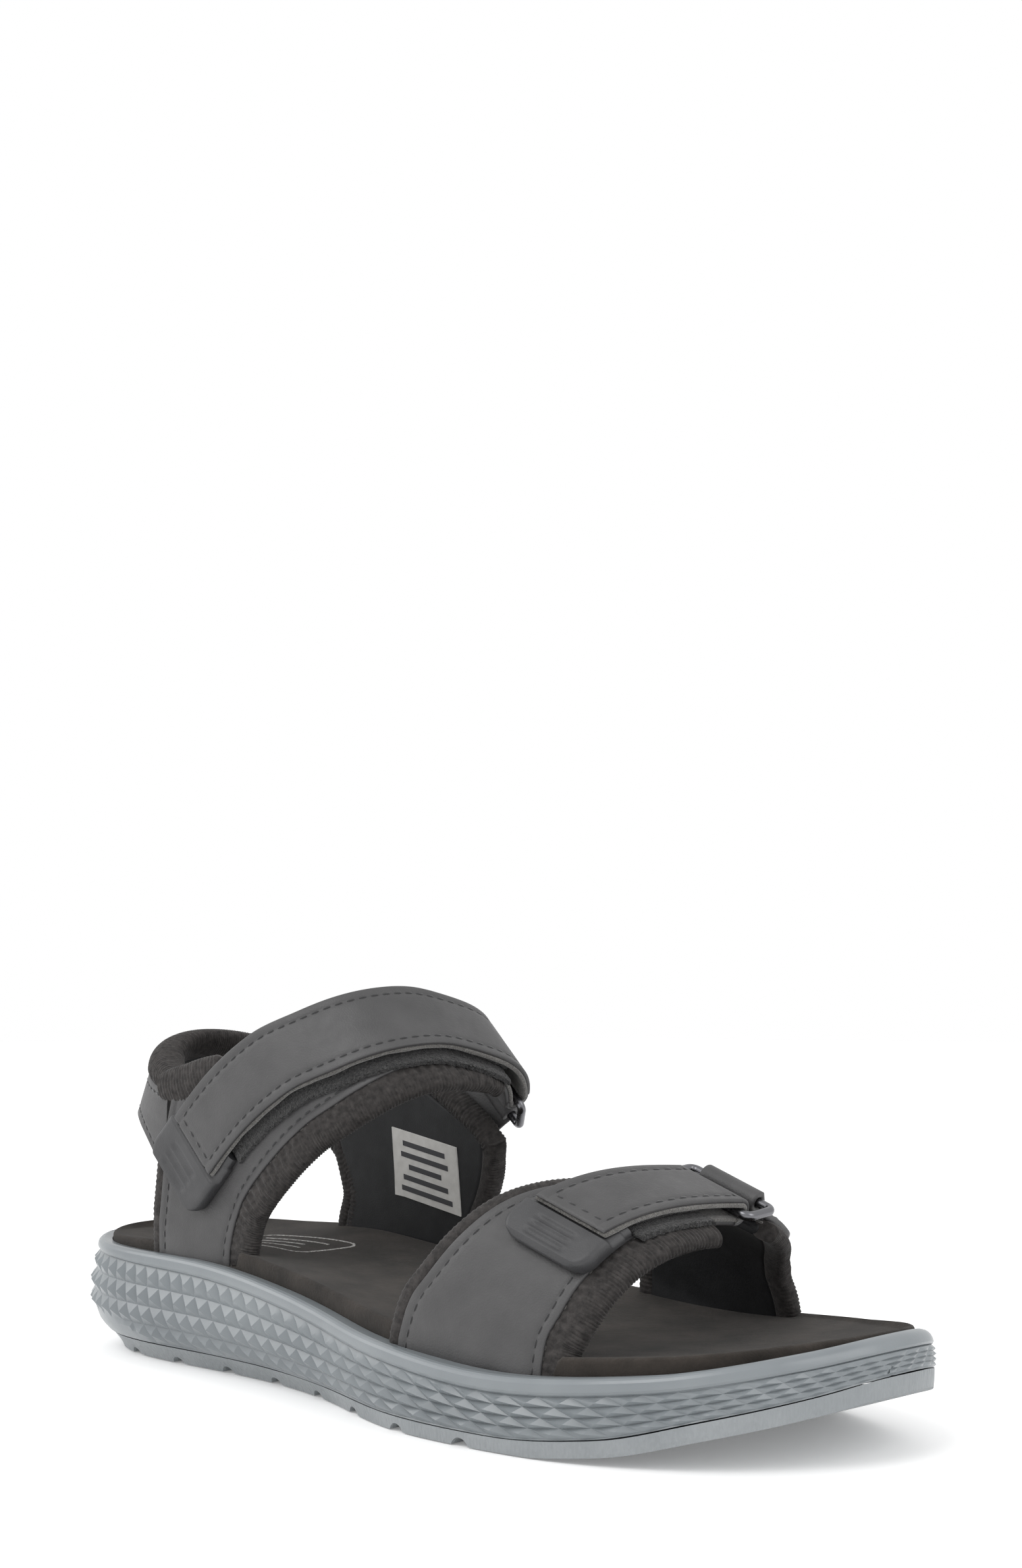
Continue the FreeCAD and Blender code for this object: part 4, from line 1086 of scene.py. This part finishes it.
# ---------------------------------------------------------------- straps, rings and tabs
class Strap:
    """Where one closure's strap, ring and keeper lie; bar, hinge, tip, anchor_from in degrees."""

    def __init__(self, name, arch, line_s, line_w, bar, hinge, tip, anchor_from, keeper_end,
                 reach):
        self.name = name
        self.arch = arch
        self.line_s = line_s
        self.line_w = line_w
        self.bar = arch.at(bar, 0)[0]
        self.hinge = arch.at(hinge, 0)[0]
        self.tip = arch.at(tip, 0)[0]
        self.anchor_from = arch.at(anchor_from, 0)[0]
        self.keeper_end = keeper_end
        self.reach = reach
        w = self.middle(self.bar)
        self.w = w
        self.upper = arch.point(self.bar, w, BAR_OFFSET)
        self.across = np.array([arch.across[0], 0, arch.across[1]])
        self.down = unit(arch.point(self.bar + 0.5, w, BAR_OFFSET)
                         - arch.point(self.bar - 0.5, w, BAR_OFFSET))
        outward = np.cross(self.down, self.across)
        lift = arch.point(self.bar, w, 0) - self.upper
        self.outward = outward if lift @ outward > 0 else -outward
        s = self.bar
        while np.linalg.norm(arch.point(s, w, LOWER_BAR_DEPTH) - self.upper) < BAR_GAP:
            s += 0.02
        self.low_s = s
        self.lower = arch.point(s, w, LOWER_BAR_DEPTH)
        self.hinge_point = arch.point(self.hinge, self.middle(self.hinge), 0)

    def middle(self, s):
        return along(self.line_s, self.line_w, s)


INSTEP_STRAP = Strap("instep", INSTEP, [-85, -66, -48, -35, -26, -15, -5, 0, 9, 16, 22, 30, 60],
                     [-82.8, -82.2, -80.4, -76.9, -75.0, -72.8, -71, -69.6, -66.4, -64.2, -62.8,
                      -62.0, -61.5], 43.5, -36.0, -88.6, 20.5, 23.0, 14.0)
VAMP_STRAP = Strap("vamp", VAMP, [-60, 60], [43.8, 63.0], 0.5, -14.0, -38.5, -5.0, 25.0, 10.5)


STRAP_SEAM = 2.5
STRAP_END = 0.9


def strap_layer(strap, start, end, half, out, inn, radius, round_end=True, step=0.9, wobble=0.0,
                fuzz=0.0, ahead=0.0):
    """A run of strap between two places round its arch, as one closed mesh."""
    length = abs(end - start)
    width = 2 * half
    profile = sheet_profile(width, out, inn, radius, STRAP_SEAM, 0.4, 14)
    near = from_edge(profile, width)
    dimple = seam_dimple(profile, width, out, STRAP_SEAM, 0.26, 0.5)
    inside_seam = (profile[:, 1] < out + 0.01) * (near > STRAP_SEAM)
    on_side = near < min(radius, (inn - out) / 2) * 0.9
    loops = []
    for at in spaced(length, step, STRAP_END):
        s = start + np.sign(end - start) * at
        full = 1.0
        if at < STRAP_END:
            full = math.sqrt(max(0.04, 1 - (1 - at / STRAP_END) ** 2))
        if round_end and length - at < STRAP_END:
            full = math.sqrt(max(0.04, 1 - (1 - (length - at) / STRAP_END) ** 2))
        depth = (out + inn) / 2 + (profile[:, 1] - (out + inn) / 2) * full
        cross = 0.26 * math.exp(-((at - STRAP_SEAM) / 0.5) ** 2)
        depth = depth + np.maximum(dimple, cross * inside_seam)
        across = profile[:, 0] - half
        if wobble:
            sway = wobble * (math.sin(s / 3.3) + 0.6 * math.sin(s / 1.4 + 1))
            across = across + sway * on_side * np.sign(across)
        if fuzz:
            across = across + RNG.normal(0, fuzz, len(across)) * on_side
            depth = depth + RNG.normal(0, fuzz, len(depth)) * 0.5
        w = strap.middle(s) + across + ahead * np.clip((across + half) / (2 * half), 0, 1)
        loops.append(strap.arch.point(np.full(len(w), s), w, depth))
    return tube(loops)


def turn_path(middle, first, second, degrees, radius_out, radius_in):
    """Outer and inner points of a band that turns round a bar from one direction to another."""
    rows = []
    for a in np.radians(np.linspace(*degrees, 26)):
        direction = first * math.cos(a) + second * math.sin(a)
        rows.append((middle + direction * radius_out, middle + direction * radius_in))
    return rows


def band_from_path(rows, across, halves):
    """A band along outer and inner path points, spread to half widths each way."""
    edge_round = 0.35
    loops = []
    for half, (outer, inner) in zip(np.broadcast_to(halves, len(rows)), rows):
        centre = (outer + inner) / 2
        up = (outer - inner) / 2
        ring = []
        shares = np.linspace(-1, 1, 14)
        for f in shares:
            ring.append(outer + across * (half - edge_round) * f)
        bend = np.radians([65, 30, 0, -30, -65])
        for a in bend:
            ring.append(centre + across * (half - edge_round + edge_round * math.cos(a))
                        + up * math.sin(a))
        for f in shares[::-1]:
            ring.append(inner + across * (half - edge_round) * f)
        for a in bend[::-1]:
            ring.append(centre - across * (half - edge_round + edge_round * math.cos(a))
                        + up * math.sin(a))
        loops.append(ring)
    return tube(loops)


def make_ring(strap):
    """A bent wire ring with rounded corners."""
    corner = 1.7
    across = strap.across
    drop = strap.lower - strap.upper
    gap = np.linalg.norm(drop)
    drop = drop / gap
    path = []
    for cx, cy, start in ((RING_HALF - corner, corner, -90), (RING_HALF - corner, gap - corner, 0),
                          (-RING_HALF + corner, gap - corner, 90), (-RING_HALF + corner, corner, 180)):
        for k in range(9):
            a = math.radians(start + 90 * k / 8)
            path.append(strap.upper + across * (cx + corner * math.cos(a))
                        + drop * (cy + corner * math.sin(a)))
    fine = []
    for k in range(len(path)):
        a = path[k]
        b = path[(k + 1) % len(path)]
        steps = max(1, int(np.linalg.norm(b - a) / 1.5))
        fine += [a + (b - a) * i / steps for i in range(steps)]
    fine = np.array(fine)
    normal = np.cross(across, drop)
    loops = []
    for k in range(len(fine)):
        side = np.cross(unit(fine[(k + 1) % len(fine)] - fine[k - 1]), normal)
        loops.append([fine[k] + (side * math.cos(q) + normal * math.sin(q)) * (WIRE - 0.02)
                      for q in turns(18)])
    obj = new_object(strap.name + "_ring_wire", *tube(loops, closed=True), MAT["metal"], 60)
    return set_down(obj, strap.name + "_ring_set", "ring_metal", strap.name + "_ring")


def make_keeper(strap):
    """A leather loop round the lower bar, sewn down the panel and tapered at its lower end."""
    arch = strap.arch
    w = strap.w
    ahead = unit(arch.point(strap.low_s + 0.5, w, LOWER_BAR_DEPTH)
                 - arch.point(strap.low_s - 0.5, w, LOWER_BAR_DEPTH))
    lift = arch.point(strap.low_s, w, 0) - strap.lower
    outward = unit(lift - (lift @ ahead) * ahead - (lift @ strap.across) * strap.across)
    rows = turn_path(strap.lower, outward, ahead, (-215, 15), 2.6, 1.2)
    tab_rows = 22
    for s in np.linspace(3.2, strap.keeper_end, tab_rows):
        raised = outward * (1 - min(1.0, (s - 2.0) / 4.0)) * 2.2
        rows.append((arch.point(strap.low_s + s, w, BASE_OUT - 1.5) + raised,
                     arch.point(strap.low_s + s, w, BASE_OUT + 0.1) + raised))
    halves = np.full(len(rows), KEEPER_HALF)
    halves[-tab_rows:] -= 3.4 * np.clip(np.linspace(-2.2, 1, tab_rows), 0, 1) ** 1.6
    obj = new_object(strap.name + "_keeper_loop",
                     *band_from_path(rows, strap.across, halves), MAT["leather"], 60)
    set_down(obj, BASE, "upper_leather", strap.name + "_ring_keeper")
    lines = []
    for side in (-1, 1):
        s = np.linspace(strap.low_s + 5.0, strap.low_s + strap.keeper_end - 7.0, 40)
        lines.append(arch_line(arch, np.column_stack([s, np.full(40, w + side * 5.8)]),
                               BASE_OUT - 1.5))
    ws = np.linspace(w - 3.0, w + 3.0, 20)
    lines.append(arch_line(arch, np.column_stack(
        [np.full(20, strap.low_s + strap.keeper_end - 2.0), ws]), BASE_OUT - 1.5))
    thread = new_object(strap.name + "_keeper_stitches", *stitches(lines), MAT["thread"], 60)
    set_down(thread, BASE, "upper_leather")


def make_tab(strap):
    """A moulded grip at the strap's end with rounded corners and shallow ribs."""
    shares = np.concatenate([[-0.55, -0.54, -0.5], np.linspace(-0.45, 0.9, 46),
                             [0.93, 0.96, 0.985, 1.0]])
    loops = []
    middle = strap.middle(strap.tip)
    length = strap.reach
    for share in shares:
        s = strap.tip - share * length
        d = (1.0 - share) * length
        corner = 4.6
        half = 12.0 - (corner - math.sqrt(max(0, corner ** 2 - (corner - d) ** 2))
                       if d < corner else 0)
        half -= 0.5 if share < -0.3 else 0
        edge = min(1.0, 0.35 + (d / 1.0) * 0.65) if d < 1.0 else 1.0
        out = STRAP + 0.05
        inn = BASE_OUT - 0.25
        centre = (out + inn) / 2
        profile = []
        for f in np.linspace(-1, 1, 34):
            lift = 0.0
            if share > 0.05:
                lift = 1.2 * min(1.0, (share - 0.05) / 0.06)
                if 0.3 < share < 0.86 and abs(f) < 0.5:
                    rib = max(0.0, math.cos(2 * math.pi * (share - 0.3) / 0.187))
                    lift -= 0.4 * (1 - rib) * min(1.0, (0.5 - abs(f)) / 0.1)
            fall = 0.7 * max(0.0, (abs(f) - 0.9) / 0.1) ** 2
            profile.append((f * half, out - lift + fall))
        profile.append((half + 0.25, centre))
        for f in np.linspace(1, -1, 34):
            profile.append((f * half, inn))
        profile.append((-half - 0.25, centre))
        profile = np.array(profile)
        depth = centre + (profile[:, 1] - centre) * edge
        loops.append(strap.arch.point(np.full(len(profile), s), middle + profile[:, 0], depth))
    obj = new_object(strap.name + "_grip_tab", *tube(loops), MAT["rubber"], 50)
    return set_down(obj, strap.name + "_tip_set", "tab_rubber", strap.name + "_pull_tab")


def make_strap(strap):
    """One whole closure: strap, strips, turn round the bar, lower layer, ring, keeper, tab."""
    name = strap.name
    tangent = strap.arch.point(strap.hinge + 1, strap.middle(strap.hinge), 0) - strap.hinge_point
    tangent = Vector(unit(tangent))

    def across_hinge(obj):
        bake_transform(obj)

    skin = new_object(name + "_strap_skin", *strap_layer(
        strap, strap.tip, strap.bar, STRAP_HALF, 0, 1.1, 0.45, round_end=False), MAT["leather"], 60)
    felt = new_object(name + "_strap_backing", *strap_layer(
        strap, strap.tip - 0.3, strap.bar, STRAP_HALF + 0.3, 0.95, STRAP, 0.35, wobble=0.12,
        round_end=False), MAT["felt"], 60)
    hook = new_object(name + "_hook_strip", *strap_layer(
        strap, strap.tip + 0.55 * strap.reach + 0.6, strap.anchor_from - 1.5, STRAP_HALF - 1.0,
        STRAP + 0.02, HOOK_IN, 0.3, fuzz=0.12), MAT["hook"], 60)
    lines = []
    s = np.linspace(strap.tip + 2.5, strap.bar - 0.5, 300)
    for side in (-1, 1):
        w = strap.middle(s) + side * (STRAP_HALF - STRAP_SEAM)
        lines.append(arch_line(strap.arch, np.column_stack([s, w]), 0.15))
    across = np.linspace(-STRAP_HALF + 2.5, STRAP_HALF - 2.5, 30)
    lines.append(arch_line(strap.arch, np.column_stack(
        [np.full(30, strap.tip + 2.5), strap.middle(strap.tip + 2.5) + across]), 0.15))
    thread = new_object(name + "_strap_stitches", *stitches(lines), MAT["thread"], 60)
    for obj, slot, nodes in ((skin, "upper_leather", (name + "_strap", name + "_strap_tip")),
                             (felt, "upper_leather", ()),
                             (hook, "hook_tape", (name + "_hook_pad", name + "_hook_tip_pad")),
                             (thread, "upper_leather", ())):
        across_hinge(obj)
        if nodes:
            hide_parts(*nodes)

    loop_pad = new_object(name + "_loop_strip", *strap_layer(
        strap, strap.tip + 0.55 * strap.reach + 0.6, strap.anchor_from - 1.5, STRAP_HALF + 0.4,
        LOOP_OUT, LOOP_IN + 0.3, 0.3, fuzz=0.16, step=0.6, ahead=LOOP_AHEAD), MAT["hook"], 60)
    set_down(loop_pad, BASE, "loop_tape", name + "_loop_pad")

    # the strap's turn round the upper bar, leather outside and felt inside
    for label, out_r, in_r, half, material in (
            ("turn_skin", BAR_OFFSET - 0.02, BAR_OFFSET - 1.1, STRAP_HALF, "leather"),
            ("turn_backing", BAR_OFFSET - 0.95, BAR_OFFSET - STRAP + 0.02, STRAP_HALF + 0.3,
             "felt")):
        rows = turn_path(strap.upper, strap.outward, strap.down, (-6, 190), out_r, in_r)
        obj = new_object(name + "_" + label, *band_from_path(rows, strap.across, half),
                         MAT[material], 60)
        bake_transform(obj)
        if label == "turn_skin":
            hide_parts(name + "_strap_fold")

    # the layer sewn under, from the panel out to the bar
    for label, out, inn, half, material in (
            ("under_skin", BAR_OFFSET + 2.1, BAR_OFFSET + 3.2, STRAP_HALF - 0.3, "leather"),
            ("under_backing", BAR_OFFSET + 1.28, BAR_OFFSET + 2.2, STRAP_HALF, "felt")):
        obj = new_object(name + "_" + label, *strap_layer(
            strap, strap.anchor_from, strap.bar + 0.2, half, out, inn, 0.35, round_end=False,
            wobble=0.08), MAT[material], 60)
        near = strap.arch.point(strap.bar - 6, strap.w, out)
        far = strap.arch.point(strap.bar, strap.w, out)
        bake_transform(obj)
        if label == "under_skin":
            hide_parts(name + "_strap_anchor")
    make_ring(strap)
    make_keeper(strap)
    make_tab(strap)


def make_label():
    """A blank woven label with plain bars on the inner quarter's lining."""
    def patch(x0, x1, z0, z1, out, inn):
        loops = []
        for f in np.linspace(0, 1, 30):
            x = x0 + (x1 - x0) * f
            ring = []
            for g, depth in [(g, out) for g in np.linspace(0, 1, 16)] + \
                    [(g, inn) for g in np.linspace(1, 0, 16)]:
                z = z0 + (z1 - z0) * g - (x - x0) * 0.1
                s, w = INSTEP.place(x, z, 1)
                ring.append(INSTEP.point(s, w, depth))
            loops.append(ring)
        return tube(loops)

    low, high = 42.5, 62.0
    obj = new_object("size_label_cloth",
                     *patch(-50, -23, low, high, LINING_IN + 0.02, LINING_IN + 0.35),
                     MAT["label"], 60)
    set_down(obj, BASE, "label_cloth", "size_label")
    parts = []
    for k, (a, b) in enumerate(((-45.5, -28), (-46.5, -27), (-43.5, -30), (-46, -27.5),
                                (-47, -26))):
        z = high - 3.6 - k * 3.3
        parts.append(patch(a, b, z - 0.75 - (a + 50) * 0.1, z + 0.75 - (a + 50) * 0.1,
                           LINING_IN + 0.3, LINING_IN + 0.42))
    bars = new_object("size_label_bars", *merged(parts), MAT["ink"], 60)
    set_down(bars, BASE, "label_cloth")


def dress_cad(node, material):
    """Give a carried-over CAD node its material and smooth shading."""
    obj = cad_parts[node]
    obj.data.materials.clear()
    obj.data.materials.append(material)
    obj.data.shade_smooth()
    obj.data.set_sharp_from_angle(angle=math.radians(30))


make_midsole()
make_footbed()
make_footbed_mark()
build_panel(OUTER_QUARTER, (3, OUTER_QUARTER.length - 2), (3, 26))
build_panel(INNER_QUARTER, (3, INNER_QUARTER.length - 2), (3, 26))
soft_roll("outer_quarter_collar_roll", INSTEP,
          [(-79, 72.5, -1), (-75, 72.8, -1), (-68, 73.6, -1), (-60, 76.2, -1), (-52, 78.5, -1)],
          [3.4, 4.4, 5.4, 5.2, 4.6], 3.2)
soft_roll("inner_quarter_collar_roll", INSTEP,
          [(-79, 71.5, 1), (-74.5, 72.8, 1), (-68, 74.8, 1), (-58, 77.8, 1), (-46, 79.3, 1),
           (-34, 75.8, 1), (-22, 69.6, 1), (-13.4, 64, 1), (-10.4, 61, 1), (-10.4, 57.4, 1)],
          [3.4, 4.2, 4.2, 3.8, 2.9, 2.7, 2.7, 2.7, 2.6, 2.2], 2.5)
build_panel(OUTER_VAMP, (3, OUTER_VAMP.length - 2), (3, OUTER_VAMP.length - 4))
build_panel(INNER_VAMP, (3, INNER_VAMP.length - 2), (3, INNER_VAMP.length - 4))
soft_roll("inner_quarter_rear_pad", INSTEP,
          [(-70, 27, 1), (-69, 34, 1), (-67.5, 40, 1), (-69, 46, 1), (-72.5, 52, 1),
           (-77, 56.5, 1), (-83, 60, 1)], [2.6, 2.8, 3.0, 3.0, 3.0, 3.0, 2.6], 2.2)
make_heel()
make_strap(INSTEP_STRAP)
make_strap(VAMP_STRAP)
make_label()
dress_cad("outsole", MAT["tread"])
dress_cad("insole_board", MAT["foam"])


# ---------------------------------------------------------------- floor, light, camera
def make_floor():
    bpy.ops.mesh.primitive_plane_add(size=12, location=(0, 0, -0.0003))
    floor = bpy.context.object
    floor.name = "floor"
    shade = Shader("floor_paper", (0.93, 0.93, 0.93), 0.9, Emission_Color=(1, 1, 1, 1),
                   Emission_Strength=0.14)
    shade.bump(shade.noise(60), 0.0002, 0.1)
    floor.data.materials.append(shade.material)


LIGHT_TARGET = (0, 0, 0.03)


def area_light(name, location, size, power):
    data = bpy.data.lights.new(name, "AREA")
    data.shape = "RECTANGLE"
    data.size = size[0]
    data.size_y = size[1]
    data.energy = power
    lamp = bpy.data.objects.new(name, data)
    bpy.context.scene.collection.objects.link(lamp)
    lamp.location = location
    direction = Vector(LIGHT_TARGET) - Vector(location)
    lamp.rotation_euler = direction.to_track_quat("-Z", "Y").to_euler()


def make_light():
    world = bpy.data.worlds.new("studio")
    bpy.context.scene.world = world
    world.use_nodes = True
    back = world.node_tree.nodes["Background"]
    back.inputs["Color"].default_value = (1, 1, 1, 1)
    back.inputs["Strength"].default_value = 1.0
    area_light("key_soft", (0.1, -0.9, 1.1), (0.7, 0.7), 5.5)
    area_light("left_soft", (-1.0, -0.6, 0.7), (0.7, 0.7), 3)
    area_light("right_soft", (1.1, 0.1, 0.8), (0.6, 0.8), 3)


CAMERA_AZIMUTH = 44.184
CAMERA_ELEVATION = 5.729
CAMERA_PLACE = (0.3515, -0.3409, 0.0904)


def make_camera():
    data = bpy.data.cameras.new("camera")
    camera = bpy.data.objects.new("camera", data)
    bpy.context.scene.collection.objects.link(camera)
    azimuth = math.radians(CAMERA_AZIMUTH)
    elevation = math.radians(CAMERA_ELEVATION)
    back = Vector((math.sin(azimuth) * math.cos(elevation),
                   -math.cos(azimuth) * math.cos(elevation), math.sin(elevation)))
    right = Vector((math.cos(azimuth), math.sin(azimuth), 0))
    up = back.cross(right)
    turn = Matrix((right, up, back)).transposed()
    camera.matrix_world = Matrix.Translation(CAMERA_PLACE) @ turn.to_4x4()
    data.sensor_width = 36
    data.lens = 46.26
    data.shift_y = 0.2773
    data.clip_start = 0.01
    bpy.context.scene.camera = camera


make_floor()
make_light()
make_camera()
bpy.context.scene.view_settings.view_transform = "Standard"
